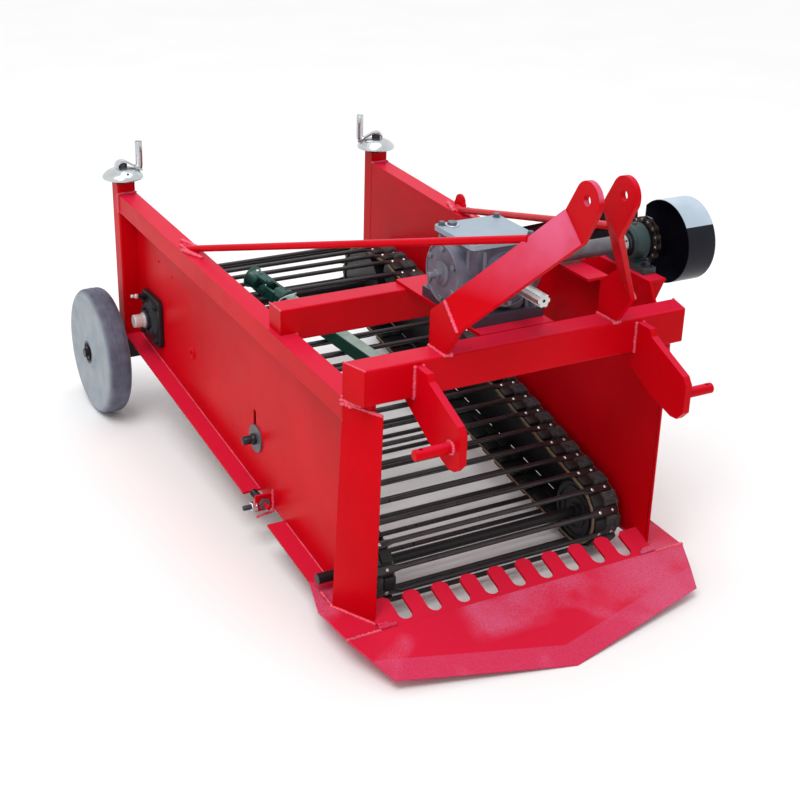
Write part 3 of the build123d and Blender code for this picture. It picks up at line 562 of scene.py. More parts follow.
def bead_tree():
    """Weld bead: overlapping drops of uneven size along each edge chain."""
    tree, given, result = new_tree(
        "weld_bead", [("Width", "NodeSocketFloat"), ("Step", "NodeSocketFloat"), ("Seed", "NodeSocketInt"),
                      ("Finish", "NodeSocketMaterial")])
    line = tree.nodes.new("GeometryNodeMeshToCurve")
    resample = tree.nodes.new("GeometryNodeResampleCurve")
    resample.mode = "LENGTH"
    drop = tree.nodes.new("GeometryNodeMeshIcoSphere")
    drop.inputs["Radius"].default_value = 0.5
    drop.inputs["Subdivisions"].default_value = 2
    uneven = tree.nodes.new("FunctionNodeRandomValue")
    uneven.data_type = "FLOAT_VECTOR"
    uneven.inputs["Min"].default_value = (0.75, 0.75, 0.7)
    uneven.inputs["Max"].default_value = (1.25, 1.25, 1.1)
    size = tree.nodes.new("ShaderNodeVectorMath")
    size.operation = "SCALE"
    place = tree.nodes.new("GeometryNodeInstanceOnPoints")
    smooth = tree.nodes.new("GeometryNodeSetShadeSmooth")
    real = tree.nodes.new("GeometryNodeRealizeInstances")
    tree.links.new(given.outputs["Geometry"], line.inputs["Mesh"])
    tree.links.new(line.outputs["Curve"], resample.inputs["Curve"])
    tree.links.new(given.outputs["Step"], resample.inputs["Length"])
    tree.links.new(given.outputs["Seed"], uneven.inputs["Seed"])
    tree.links.new(uneven.outputs["Value"], size.inputs["Vector"])
    tree.links.new(given.outputs["Width"], size.inputs["Scale"])
    tree.links.new(resample.outputs["Curve"], place.inputs["Points"])
    tree.links.new(drop.outputs["Mesh"], place.inputs["Instance"])
    tree.links.new(size.outputs["Vector"], place.inputs["Scale"])
    tree.links.new(place.outputs["Instances"], real.inputs["Geometry"])
    tree.links.new(real.outputs["Geometry"], smooth.inputs["Geometry"])
    close_tree(tree, given, result, smooth.outputs["Geometry"])
    return tree


COPIES, BEAD = copies_tree(), bead_tree()


def grow(name, seed_mesh, tree, values, slot="red_paint", replaces=()):
    """Runs a tree on a seed mesh and keeps its result as a plain mesh on the frame."""
    seed = bpy.data.objects.new(name + "_seed", seed_mesh)
    scene.collection.objects.link(seed)
    modifier = seed.modifiers.new("grow", "NODES")
    modifier.node_group = tree
    for socket in tree.interface.items_tree:
        if socket.in_out == "INPUT" and socket.name in values:
            modifier[socket.identifier] = values[socket.name]
    bpy.context.view_layer.update()
    depsgraph = bpy.context.evaluated_depsgraph_get()
    mesh = bpy.data.meshes.new_from_object(seed.evaluated_get(depsgraph), depsgraph=depsgraph)
    mesh.name = name
    bpy.data.objects.remove(seed)
    return piece(name, mesh, values["Finish"], "frame", replaces)


def placed(name, shape_mesh, places, material, slot, replaces=()):
    """Copies of a shape at places, each a matrix and a size."""
    seed = bpy.data.meshes.new(name + "_places")
    seed.from_pydata([tuple(matrix.translation) for matrix, size in places], [], [])
    turn = seed.attributes.new("turn", "FLOAT_VECTOR", "POINT")
    turn.data.foreach_set("vector", [value for matrix, size in places for value in matrix.to_euler()])
    sizes = seed.attributes.new("size", "FLOAT_VECTOR", "POINT")
    sizes.data.foreach_set("vector", [value for matrix, size in places for value in size])
    shape = bpy.data.objects.new(name + "_shape", shape_mesh)
    scene.collection.objects.link(shape)
    grown = grow(name, seed, COPIES, {"Shape": shape, "Scale": 1.0, "Finish": material}, slot, replaces)
    bpy.data.objects.remove(shape)
    return grown


def welds(name, seams, width, seed, material=None):
    """Weld beads along seams, each a list of points."""
    points, edges = [], []
    for seam in seams:
        edges += [(len(points) + step, len(points) + step + 1) for step in range(len(seam) - 1)]
        points += [tuple(point) for point in seam]
    mesh = bpy.data.meshes.new(name + "_seams")
    mesh.from_pydata(points, edges, [])
    values = {"Width": width, "Step": width * 0.55, "Seed": seed, "Finish": material or WELD_HIGHLIGHT_PINK}
    return grow(name, mesh, BEAD, values)


RAIL_FRONT, RAIL_FRONT_TOP, RAIL_RISE = -0.742, 0.706, 0.0362


def rail_top(y):
    """Height of the top rail at a length position."""
    return RAIL_FRONT_TOP + RAIL_RISE * (y - RAIL_FRONT)


# Line that the belts and the chain follow around their wheels

def hull_path(wheels, grow):
    """Stretches of the closed line around wheels (y, z, radius), taken counterclockwise seen from +X."""
    angles = []
    for (y0, z0, r0), (y1, z1, r1) in zip(wheels, wheels[1:] + wheels[:1]):
        gap = math.hypot(y1 - y0, z1 - z0)
        angles.append(math.atan2(z1 - z0, y1 - y0) - math.acos((r0 - r1) / gap))
    stretches = []
    for step, (y0, z0, r0) in enumerate(wheels):
        y1, z1, r1 = wheels[(step + 1) % len(wheels)]
        run = math.sqrt((y1 - y0) ** 2 + (z1 - z0) ** 2 - (r0 - r1) ** 2)
        stretches.append((run, None, y0, z0, r0 + grow, angles[step]))
        turn = (angles[(step + 1) % len(wheels)] - angles[step]) % math.tau
        stretches.append(((r1 + grow) * turn, turn, y1, z1, r1 + grow, angles[step]))
    return stretches


def path_length(stretches):
    """Length of the whole line."""
    return sum(stretch[0] for stretch in stretches)


def on_path(stretches, distance):
    """(y, z, outward angle) at a distance along the line."""
    distance %= path_length(stretches)
    for length, turn, y, z, radius, angle in stretches:
        if distance <= length:
            break
        distance -= length
    if turn:
        angle += turn * distance / length
        return y + radius * math.cos(angle), z + radius * math.sin(angle), angle
    return (y + radius * math.cos(angle) - distance * math.sin(angle),
            z + radius * math.sin(angle) + distance * math.cos(angle), angle)


def path_matrix(stretches, distance, x=0.0):
    """Matrix at a distance along the line: X across the web, Z outward."""
    y, z, angle = on_path(stretches, distance)
    return Matrix.Translation((x, y, z)) @ Matrix.Rotation(angle - math.pi / 2, 4, "X")


def on_straight(distance):
    """True where a place on the rod line lies well between two rollers."""
    y, z, angle = on_path(ROD_LINE, distance)
    return all(math.hypot(y - wheel_y, z - wheel_z) > radius + 0.045 for wheel_y, wheel_z, radius in WEB)


def band(form, wheels, near, far, inner, outer, samples=160):
    """Endless flat band around wheels, between two widths and two growths."""
    low = hull_path(wheels, inner)
    lift = outer - inner
    rings = []
    for step in range(samples):
        y, z, angle = on_path(low, step / samples * path_length(low))
        top = (y + lift * math.cos(angle), z + lift * math.sin(angle))
        rings.append([form.verts.new(point) for point in (
            (near, y, z), (far, y, z), (far, *top), (near, *top))])
    skin(form, rings, closed=True)


def brick(form, low, high):
    """Block between two corners."""
    outline = [(low[0], low[1], low[2]), (high[0], low[1], low[2]), (high[0], high[1], low[2]),
               (low[0], high[1], low[2])]
    prism(form, outline, (0, 0, high[2] - low[2]))


def wheel_of(node, grow):
    """(y, z, radius) of a roller or sprocket, from its node's box, with a radius grown by a measure."""
    low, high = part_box(node)
    return (low.y + high.y) / 2, (low.z + high.z) / 2, (high.y - low.y) / 2 + grow


BELT = 0.008
BELT_IN, BELT_OUT = 0.322, 0.412
ROD_R = 0.006
BAR = 0.0146
ROD_HALF = 0.408
ROD_COUNT = 48
FLAT_WIDE, FLAT_THICK = 0.024, 0.005
FLAT_SINK = ROD_R - FLAT_THICK / 2
WEB = [wheel_of(node, BELT / 2) for node in ("front_roller", "drive_shaft", "carrier_roller")]
ROD_LINE = hull_path(WEB, BELT / 2 + ROD_R)
ROD_STEP = path_length(ROD_LINE) / ROD_COUNT
ONE = (1, 1, 1)


# Rods: round bars forged flat where they lie on the belts

def rod_ring(form, x, wide, thick, lift, power):
    """Twelve corners of a rod's section, round at power 1 and flat at low powers."""
    corners = []
    for step in range(12):
        angle = math.tau * (step + 0.5) / 12
        c, s = math.cos(angle), math.sin(angle)
        corners.append(form.verts.new((
            x, math.copysign(abs(c) ** power, c) * wide / 2,
            lift + math.copysign(abs(s) ** power, s) * thick / 2)))
    return corners


form = bmesh.new()
half = [(ROD_HALF, 0.8), (ROD_HALF - 0.003, 1.0), (BELT_IN + 0.014, 1.0)]
stations = [(-x, FLAT_WIDE * size, FLAT_THICK * size, -FLAT_SINK, 0.4) for x, size in half]
stations += [(-BELT_IN + 0.016, BAR, BAR, 0, 1), (0, BAR, BAR, 0, 1)]
stations += [(-x, wide, thick, lift, power) for x, wide, thick, lift, power in stations[-2::-1]]
skin(form, [rod_ring(form, *station) for station in stations], closed=False)
rod = done(form, "rod")
rod_places = [(path_matrix(ROD_LINE, step * ROD_STEP), ONE) for step in range(ROD_COUNT)]
placed("forged_rods", rod, rod_places, ROD_STEEL, slot="dark_steel", replaces=["web_rods"])

form = bmesh.new()
lathe(form, (0, 0, 0), Z_AXIS, [(0, 0.0064), (0.0014, 0.0062), (0.0030, 0.0036), (0.0036, 0)], 10)
rivet = done(form, "rivet", smooth=80)
FLAT_TOP = FLAT_THICK / 2 - FLAT_SINK
rivet_places = [
    (matrix @ Matrix.Translation((s * x, 0, FLAT_TOP - 0.0004)), ONE)
    for matrix, size in rod_places for side, s in SIDES for x in (BELT_IN + 0.024, BELT_OUT - 0.022)
]
placed("rod_rivets", rivet, rivet_places, BRIGHT, slot="bright_steel")


# Belts: an endless band with canvas at its edges, ribbed pads outside and smooth blocks inside the rods' ends

PAD_LONG, PAD_WIDE, PAD_HIGH = 0.040, 0.046, 0.013
BLOCK_LONG, BLOCK_WIDE, BLOCK_HIGH = 0.034, 0.036, 0.011
BELT_TOP = -ROD_R

form = bmesh.new()
brick(form, (-PAD_WIDE / 2, -PAD_LONG / 2, BELT_TOP),
      (PAD_WIDE / 2, PAD_LONG / 2, BELT_TOP + PAD_HIGH - 0.003))
for step in range(6):
    y = (step - 2.5) * PAD_LONG / 6.4
    brick(form, (-PAD_WIDE / 2 + 0.002, y - 0.0020, BELT_TOP + 0.006),
          (PAD_WIDE / 2 - 0.002, y + 0.0020, BELT_TOP + PAD_HIGH))
pad = done(form, "pad")
form = bmesh.new()
brick(form, (-BLOCK_WIDE / 2, -BLOCK_LONG / 2, BELT_TOP),
      (BLOCK_WIDE / 2, BLOCK_LONG / 2, BELT_TOP + BLOCK_HIGH))
smooth_block = done(form, "smooth_block", bevel=0.003)
CLEAT_LONG, CLEAT_DEEP = 0.040, 0.010
CLEAT_TOP = -ROD_R - BELT
form = bmesh.new()
for low_x, high_x in ((-0.042, -0.004), (0.004, 0.042)):
    brick(form, (low_x, -CLEAT_LONG / 2, CLEAT_TOP - CLEAT_DEEP), (high_x, CLEAT_LONG / 2, CLEAT_TOP + 0.001))
cleat = done(form, "cleat", bevel=0.003)

for side, s in SIDES:
    form = bmesh.new()
    band(form, WEB, s * (BELT_IN + 0.001), s * (BELT_OUT - 0.001), -BELT / 2, BELT / 2)
    piece(f"belt_band_{side}", done(form, "band"), BELTING, replaces=[f"web_belt_{side}"])
    form = bmesh.new()
    for edge, width in ((BELT_IN, 0.004), (BELT_OUT, -0.004)):
        band(form, WEB, s * edge, s * (edge + width), -BELT / 2 + 0.001, BELT / 2 + 0.0008)
    piece(f"belt_canvas_{side}", done(form, "canvas"), CANVAS)
    between = [(step + 0.5) * ROD_STEP for step in range(ROD_COUNT)]
    pad_x = s * (BELT_OUT - PAD_WIDE / 2 - 0.003)
    block_x = s * (BELT_IN + BLOCK_WIDE / 2 + 0.002)
    placed(f"belt_pads_{side}", pad, [(path_matrix(ROD_LINE, place, pad_x), ONE) for place in between], PAD,
           slot="belt_rubber")
    cleat_places = [(path_matrix(ROD_LINE, place, s * (BELT_IN + BELT_OUT) / 2), ONE)
                    for place in between if on_straight(place)]
    placed(f"belt_cleats_{side}", cleat, cleat_places, BELTING, slot="belt_rubber")
    placed(f"belt_blocks_{side}", smooth_block,
           [(path_matrix(ROD_LINE, place, block_x), ONE) for place in between],
           BELTING, slot="belt_rubber")


# Side guides that close the space between the two runs of each belt

GUIDE_X, GUIDE_THICK = 0.4135, 0.004
guide_line = hull_path(WEB, -0.004)
guide_outline = [on_path(guide_line, path_length(guide_line) * step / 120)[:2] for step in range(120)]
for side, s in SIDES:
    form = bmesh.new()
    prism(form, [(s * GUIDE_X, *point) for point in guide_outline], (s * GUIDE_THICK, 0, 0))
    piece(f"web_guide_{side}", done(form, "web_guide"), BELTING)


# Drive chain: side plates in pairs, narrow and wide in turn, over rollers

CHAIN_X = 0.520
CHAIN_PITCH = 0.0254
LINKS = 126


def pitch_wheel(node, teeth):
    """(y, z, pitch radius) of a sprocket."""
    y, z, _ = wheel_of(node, 0)
    return y, z, CHAIN_PITCH / (2 * math.sin(math.pi / teeth))


CHAIN_LINE = hull_path([pitch_wheel("front_sprocket", 14), pitch_wheel("rear_sprocket", 17)], 0)
LINK_STEP = path_length(CHAIN_LINE) / LINKS


def chain_link(name, plate_x):
    """Two waisted plates and the roller at one end."""
    form = bmesh.new()
    eye, waist, reach = 0.0085, 0.0058, CHAIN_PITCH / 2
    half = corner_arc((reach, 0), eye, -70, 70, 4)
    outline = half + [(0, waist)] + [(-y, z) for y, z in reversed(half)] + [(0, -waist)]
    for s in (-1, 1):
        prism(form, [(s * plate_x, y, z) for y, z in outline], (s * 0.0016, 0, 0))
    disc(form, (-plate_x, reach, 0), X_AXIS, 0.0075, 2 * plate_x, 8)
    return done(form, name)


for name, first, plate_x in (("chain_inner_links", 0, 0.0045), ("chain_outer_links", 1, 0.0066)):
    places = [(path_matrix(CHAIN_LINE, step * LINK_STEP, CHAIN_X), ONE) for step in range(first, LINKS, 2)]
    link_steel = plain(f"{name}_steel", (0.10, 0.075, 0.06) if first else (0.045, 0.038, 0.035), 0.32,
                       metallic=0.7)
    placed(name, chain_link(name, plate_x), places, link_steel, slot="dark_steel",
           replaces=["drive_chain"] if first else ())


form = bmesh.new()
lathe(form, (-0.0088, CHAIN_PITCH / 2, 0), X_AXIS,
      [(0, 0), (0, 0.0036), (0.0008, 0.0042), (0.0168, 0.0042), (0.0176, 0.0036), (0.0176, 0)], 8)
pin_places = [(path_matrix(CHAIN_LINE, step * LINK_STEP, CHAIN_X), ONE) for step in range(LINKS)]
placed("chain_pins", done(form, "chain_pin"), pin_places, BRIGHT, slot="bright_steel")


# Wheels: solid tyres with round shoulders, a shallow dish, a hub recess and the mould's parting line

AXLE_AT = Vector((0, AXLE_Y, WHEEL_R))
TYRE_ARC = 0.024
TREAD_R = WHEEL_R - 0.0012
SEAM_AT, SEAM_R, BLOB_R = 0.583, 0.0019, WHEEL_R - 0.0028
HUB_BORE = 0.0155
profile = [(WHEEL_IN, HUB_BORE), (WHEEL_IN, 0.060), (WHEEL_IN + 0.004, 0.150)]
profile += corner_arc((WHEEL_IN + TYRE_ARC, TREAD_R - TYRE_ARC), TYRE_ARC, 180, 92, 7)
profile += corner_arc((WHEEL_OUT - TYRE_ARC, TREAD_R - TYRE_ARC), TYRE_ARC, 88, 0, 7)
profile += [(WHEEL_OUT + along, radius) for along, radius in (
    (-0.001, 0.176), (-0.0035, 0.150), (-0.006, 0.110), (-0.006, 0.064), (-0.003, 0.057), (0.002, 0.052),
    (0.003, 0.046), (0.003, 0.036), (0.001, 0.033), (-0.004, 0.031), (-0.012, 0.030), (-0.012, HUB_BORE))]
HUB_RING = [(WHEEL_OUT + along, radius) for along, radius in (
    (-0.011, HUB_BORE), (-0.009, 0.0290), (0.0020, 0.0330), (0.0038, 0.0350), (0.0038, 0.0400),
    (0.0020, 0.0415), (-0.0130, 0.0400), (-0.0130, HUB_BORE))]

for side, s in SIDES:
    form = bmesh.new()
    lathe(form, AXLE_AT, (s, 0, 0), profile, 112, closed=True)
    seam = []
    for step in range(160):
        a = math.tau * step / 160
        sway = 0.0035 * math.sin(3 * a + 1) + 0.0018 * math.sin(11 * a) + 0.001 * math.sin(29 * a)
        reach = WHEEL_R - SEAM_R
        seam.append((s * (SEAM_AT + sway), AXLE_AT.y + reach * math.cos(a), AXLE_AT.z + reach * math.sin(a)))
    piece(f"moulded_tyre_{side}", done(form, "tyre", smooth=40), TYRE, f"wheel_{side}",
          replaces=[f"wheel_{side}"])
    form = bmesh.new()
    tube(form, seam, SEAM_R, 6, closed=True)
    for a, swell in ((2.0, 0.0028), (2.35, 0.002), (2.9, 0.003), (3.5, 0.0022), (4.1, 0.003), (5.2, 0.002),
                     (0.6, 0.003)):
        x = s * (SEAM_AT + 0.0035 * math.sin(3 * a + 1))
        blob = [(-1.6 * swell, 0), (-swell, 0.7 * swell), (0, swell), (swell, 0.7 * swell), (1.6 * swell, 0)]
        lathe(form, (x, AXLE_AT.y + BLOB_R * math.cos(a), AXLE_AT.z + BLOB_R * math.sin(a)), X_AXIS, blob, 8)
    piece(f"parting_line_{side}", done(form, "parting_line", smooth=60), SEAM_RUBBER, f"wheel_{side}")
    form = bmesh.new()
    lathe(form, AXLE_AT, (s, 0, 0), HUB_RING, 56, closed=True)
    piece(f"hub_ring_{side}", done(form, "hub_ring"), DARK_BOLT, f"wheel_{side}")


# Height cranks: domed disc, strap bent over the screw's nut, and an upright tube for the hand

POST_X, POST_Y = 0.470, AXLE_Y
DISC_Z = 0.820
DISC = [
    (0.0240, 0.0), (0.0235, 0.016), (0.0200, 0.033), (0.0120, 0.050), (0.0030, 0.0610), (-0.0035, 0.0655),
    (-0.0095, 0.0660), (-0.0105, 0.0645), (-0.0095, 0.0628), (-0.0050, 0.0620), (0.0010, 0.0580),
    (0.0090, 0.0480), (0.0160, 0.0320), (0.0190, 0.022), (-0.0225, 0.022), (-0.0225, 0.0),
]
STRAP_LINE = [(-0.020, 0.020), (-0.020, 0.034), (-0.008, 0.045), (0.010, 0.043), (0.034, 0.028),
              (0.052, 0.015), (0.064, 0.010)]
STRAP_WIDE, STRAP_THICK = 0.028, 0.006
GRIP_AT, GRIP_R, GRIP_TOP = 0.058, 0.012, 0.104


def bent_plate(form, line, width, thickness):
    """Flat bar bent along a line of points, wide along a vector."""
    line = [Vector(point) for point in line]
    width = Vector(width)
    upper, lower = [], []
    for step, point in enumerate(line):
        run = (line[min(step + 1, len(line) - 1)] - line[max(step - 1, 0)]).normalized()
        normal = run.cross(width.normalized()) * (thickness / 2)
        upper.append(point + normal - width / 2)
        lower.append(point - normal - width / 2)
    for step in range(len(line) - 1):
        prism(form, [upper[step], upper[step + 1], lower[step + 1], lower[step]], width)
    bmesh.ops.remove_doubles(form, verts=form.verts, dist=1e-6)
    joints = [face for face in form.faces if all(len(edge.link_faces) > 2 for edge in face.edges)]
    bmesh.ops.delete(form, geom=joints, context="FACES")


def hex_form(form, at, axis, across_flats, height, chamfer=0.12):
    """Hexagon head or nut whose outer corners are turned down."""
    at, axis = Vector(at), Vector(axis).normalized()
    corner = across_flats / math.sqrt(3)
    lathe(form, at, axis,
          [(0, 0), (0, corner), (height * (1 - chamfer), corner), (height, corner * 0.88), (height, 0)], 6)


for (side, s), turn in zip(SIDES, (0, 150)):
    axis_at = Vector((s * POST_X, POST_Y, DISC_Z))
    out = Vector((math.cos(math.radians(turn)), math.sin(math.radians(turn)), 0))
    across = Vector((-out.y, out.x, 0))
    form = bmesh.new()
    lathe(form, axis_at, Z_AXIS, DISC, 56)
    strap_form = bmesh.new()
    strap_line = soft_path([axis_at + out * reach + Z_AXIS * z for reach, z in STRAP_LINE], 0.010, 4)
    bent_plate(strap_form, strap_line, across * STRAP_WIDE, STRAP_THICK)
    grip = [axis_at + out * GRIP_AT * 0.72 + Z_AXIS * 0.016, axis_at + out * GRIP_AT + Z_AXIS * 0.014,
            axis_at + out * GRIP_AT + Z_AXIS * 0.080]
    tube(form, soft_path(grip, 0.018, 6), GRIP_R, 20)
    lathe(form, axis_at + out * GRIP_AT, Z_AXIS,
          [(0.074, GRIP_R - 0.0025), (0.074, GRIP_R), (GRIP_TOP - 0.001, GRIP_R), (GRIP_TOP, GRIP_R - 0.0008),
           (GRIP_TOP, GRIP_R - 0.0018), (GRIP_TOP - 0.002, GRIP_R - 0.0025)], 24, closed=True)
    piece(f"crank_disc_{side}", done(form, "crank_disc", smooth=40), ZINC,
          replaces=[f"height_crank_{side}"])
    piece(f"crank_strap_{side}", done(strap_form, "crank_strap", smooth=50), ZINC)
    form = bmesh.new()
    hex_form(form, axis_at + Z_AXIS * 0.022, Z_AXIS, 0.026, 0.014)
    lathe(form, axis_at + Z_AXIS * 0.030, Z_AXIS,
          [(0, 0), (0, 0.008), (0.009, 0.008), (0.010, 0.007), (0.010, 0)], 16)
    lathe(form, axis_at + across * -0.048 + Z_AXIS * 0.008, Z_AXIS,
          [(0, 0.006), (0.003, 0.006), (0.006, 0.003), (0.007, 0)], 12)
    piece(f"crank_nut_{side}", done(form, "crank_nut"), ROD_STEEL)


# Flange bearings of the rear drive shaft

BEARING_AT = Vector((0, 0.717, 0.375))
FLANGE_WIDE, FLANGE_TALL, FLANGE_BOLT = 0.158, 0.168, 0.058
SHEET_OUT = 0.445
for side, s in SIDES:
    face = Vector((s * SHEET_OUT, BEARING_AT.y, BEARING_AT.z))
    form = bmesh.new()
    prism(form, [face + Vector((0, y, z)) for y, z in rounded_outline(FLANGE_WIDE, FLANGE_TALL, 0.022)],
          (s * 0.017, 0, 0))
    plate_mesh = done(form, "plate", bevel=0.002)
    form = bmesh.new()
    form.from_mesh(plate_mesh)
    lathe(form, face, (s, 0, 0), [
        (0.012, 0.066), (0.019, 0.063), (0.026, 0.054), (0.031, 0.050), (0.031, 0.038), (0.025, 0.036),
        (0.025, 0.021), (0.012, 0.021)], 48, closed=True)
    piece(f"bearing_housing_{side}", done(form, "bearing_housing"), BLACK,
          replaces=[f"flange_bearing_{side}"])
    form = bmesh.new()
    lathe(form, face, (s, 0, 0), [
        (0.022, 0.0202), (0.022, 0.033), (0.027, 0.033), (0.028, 0.0315), (0.038, 0.0315), (0.040, 0.0300),
        (0.040, 0.0202)], 40, closed=True)
    disc(form, face + Vector((s * 0.034, 0, 0.029)), Z_AXIS, 0.004, 0.004, 6)
    piece(f"bearing_collar_{side}", done(form, "bearing_collar"), DARK_BOLT)
    form = bmesh.new()
    for y in (-FLANGE_BOLT, FLANGE_BOLT):
        for z in (-FLANGE_BOLT, FLANGE_BOLT):
            at = face + Vector((s * 0.016, y, z))
            disc(form, at, (s, 0, 0), 0.0135, 0.002, 20)
            hex_form(form, at + Vector((s * 0.002, 0, 0)), (s, 0, 0), 0.019, 0.009)
            lathe(form, at, (s, 0, 0), [(0, 0), (0, 0.006), (0.016, 0.006), (0.017, 0.005), (0.017, 0)], 14)
    piece(f"bearing_bolts_{side}", done(form, "bearing_bolts"), BLACK)
    form = bmesh.new()
    shaft_end = face + Vector((s * 0.038, 0, 0))
    lathe(form, shaft_end, (s, 0, 0), [(0, 0), (0, 0.0250), (0.006, 0.0250), (0.006, 0.0215), (0.036, 0.0215),
                                       (0.0378, 0.0195), (0.0378, 0.0)], 36)
    piece(f"drive_shaft_end_{side}", done(form, "shaft_end"), GROUND_STEEL)
    form = bmesh.new()
    nipple_at = face + Vector((s * 0.016, 0.036, 0.068))
    hex_form(form, nipple_at + Vector((s * 0.030, 0, 0.004)), (s, 0, 0.15), 0.014, 0.008)
    lathe(form, nipple_at + Vector((s * 0.038, 0, 0.005)), (s, 0, 0.15), [
        (0, 0), (0, 0.0045), (0.007, 0.0035), (0.009, 0.0060), (0.014, 0.0050), (0.015, 0)], 14)
    piece(f"grease_nipple_{side}", done(form, "nipple"), GROUND_STEEL)
    form = bmesh.new()
    tube(form, [nipple_at, nipple_at + Vector((s * 0.031, 0, 0.005))], 0.0065, 12)
    piece(f"nipple_stem_{side}", done(form, "nipple_stem"), BLACK)


# Gearbox: lid bolts, caps, ribs and stub, and the pillow block's bolts

AXIS = Vector((0, -0.570, 0.909))
CAP_X, CAP_Y = 0.127, -0.122
SIDE_BOLTS_R, FRONT_BOLTS_R = 0.066, 0.057
PLUG_AT = (-0.060, -0.500)
lid_low, lid_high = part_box("gearbox_lid")
LID_TOP = lid_high.z - 0.010
bolts, cap_bolts = bmesh.new(), bmesh.new()
for x in (lid_low.x + 0.016, lid_high.x - 0.016):
    for y in (lid_low.y + 0.016, lid_high.y - 0.016):
        disc(bolts, (x, y, LID_TOP), Z_AXIS, 0.0105, 0.002, 20)
        hex_form(bolts, (x, y, LID_TOP + 0.002), Z_AXIS, 0.0145, 0.008)
hex_form(bolts, (*PLUG_AT, LID_TOP + 0.003), Z_AXIS, 0.0235, 0.0075)
for turn in range(6):
    a = math.tau * (turn + 0.5) / 6
    at = AXIS + Vector((FRONT_BOLTS_R * math.cos(a), CAP_Y, FRONT_BOLTS_R * math.sin(a)))
    hex_form(cap_bolts, at, -Y_AXIS, 0.013, 0.006)
    for s in (-1, 1):
        at = AXIS + Vector((s * CAP_X, SIDE_BOLTS_R * math.cos(a), SIDE_BOLTS_R * math.sin(a)))
        hex_form(cap_bolts, at, (s, 0, 0), 0.015, 0.007)
lathe(cap_bolts, (-0.130, AXIS.y, AXIS.z), -X_AXIS, [(0, 0), (0, 0.021), (0.008, 0.020), (0.008, 0)], 24)
hex_form(cap_bolts, (-0.137, AXIS.y, AXIS.z), -X_AXIS, 0.027, 0.012)
lathe(cap_bolts, (-0.145, AXIS.y, AXIS.z), -X_AXIS, [
    (0, 0), (0, 0.0095), (0.022, 0.0095), (0.024, 0.008), (0.024, 0)], 18)
for x in (-0.085, 0.085):
    for y in (-0.688, -0.448):
        hex_form(cap_bolts, (x, y, FOOT_TOP), Z_AXIS, 0.019, 0.010)
piece("lid_bolts", done(bolts, "lid_bolts"), BOLT_GREY)
piece("gearbox_bolts", done(cap_bolts, "gearbox_bolts"), CAP_GREY)
form = bmesh.new()
lathe(form, (*PLUG_AT, LID_TOP), Z_AXIS, [(0, 0), (0, 0.019), (0.0025, 0.019), (0.003, 0.018), (0.003, 0)],
      28)
piece("plug_washer", done(form, "plug_washer"), ZINC)

form = bmesh.new()
lathe(form, AXIS + Vector((0, CAP_Y, 0)), -Y_AXIS, [
    (-0.002, 0.069), (0.003, 0.068), (0.005, 0.065), (0.003, 0.062), (-0.002, 0.062)], 56, closed=True)
lathe(form, AXIS + Vector((0, -0.134, 0)), -Y_AXIS, [
    (-0.002, 0.032), (0.004, 0.031), (0.007, 0.028), (0.007, 0.023), (0.004, 0.0195), (-0.002, 0.0195)], 40,
    closed=True)
for s in (-1, 1):
    lathe(form, AXIS + Vector((s * CAP_X, 0, 0)), (s, 0, 0), [
        (-0.002, 0.081), (0.002, 0.080), (0.004, 0.077), (0.002, 0.074), (-0.002, 0.074)], 56, closed=True)
    for y in (-0.640, -0.500):
        rib = ((0.094, FOOT_TOP), (0.114, FOOT_TOP), (0.096, 0.990), (0.094, 0.990))
        prism(form, [(s * x, y - 0.005, z) for x, z in rib], (0, 0.010, 0))
lathe(form, (-0.125, AXIS.y, AXIS.z), -X_AXIS,
      [(0, 0), (0, 0.034), (0.006, 0.033), (0.009, 0.028), (0.009, 0)], 36)
for x in (-0.060, 0.060):
    rib = ((-0.660, FOOT_TOP), (-0.690, FOOT_TOP), (-0.662, 0.985), (-0.660, 0.985))
    prism(form, [(x - 0.005, y, z) for y, z in rib], (0.010, 0, 0))
lathe(form, (0.030, -0.660, 0.846), -Y_AXIS,
      [(0, 0.024), (0.020, 0.024), (0.024, 0.020), (0.026, 0.012), (0.026, 0)], 32)
piece("gearbox_ribs", done(form, "gearbox_ribs", bevel=0.001), CASTING)

BLOCK_X, BLOCK_FOOT_TOP = 0.481, 0.860
form = bmesh.new()
for y in (-0.638, -0.502):
    disc(form, (BLOCK_X, y, BLOCK_FOOT_TOP), Z_AXIS, 0.016, 0.003, 24)
    hex_form(form, (BLOCK_X, y, BLOCK_FOOT_TOP + 0.003), Z_AXIS, 0.021, 0.012)
    lathe(form, (BLOCK_X, y, BLOCK_FOOT_TOP + 0.003), Z_AXIS, [
        (0, 0), (0, 0.007), (0.020, 0.007), (0.021, 0.006), (0.021, 0)], 16)
ring(form, (0.4565, AXIS.y, AXIS.z), X_AXIS, 0.0302, 0.036, 0.004, 40)
piece("pillow_block_bolts", done(form, "block_bolts"), DARK_BOLT)
form = bmesh.new()
ring(form, (0.431, AXIS.y, AXIS.z), X_AXIS, 0.029, 0.0310, 0.014, 40)
piece("shaft_collar_sleeve", done(form, "collar_sleeve"), BRIGHT)
form = bmesh.new()
ring(form, (0.4455, AXIS.y, AXIS.z), X_AXIS, 0.029, 0.0325, 0.005, 40)
lathe(form, (0.438, AXIS.y - 0.0265, AXIS.z + 0.0155), (0, -0.86, 0.5),
      [(0, 0), (0, 0.0035), (0.0012, 0.003), (0.0012, 0)], 12)
piece("shaft_collar_ring", done(form, "collar_ring"), BLACK)
form = bmesh.new()
lathe(form, (0.4585, AXIS.y, AXIS.z), X_AXIS, [
    (-0.003, 0.046), (-0.003, 0.040), (0.003, 0.038), (0.003, 0.050), (0, 0.050)], 44, closed=True)
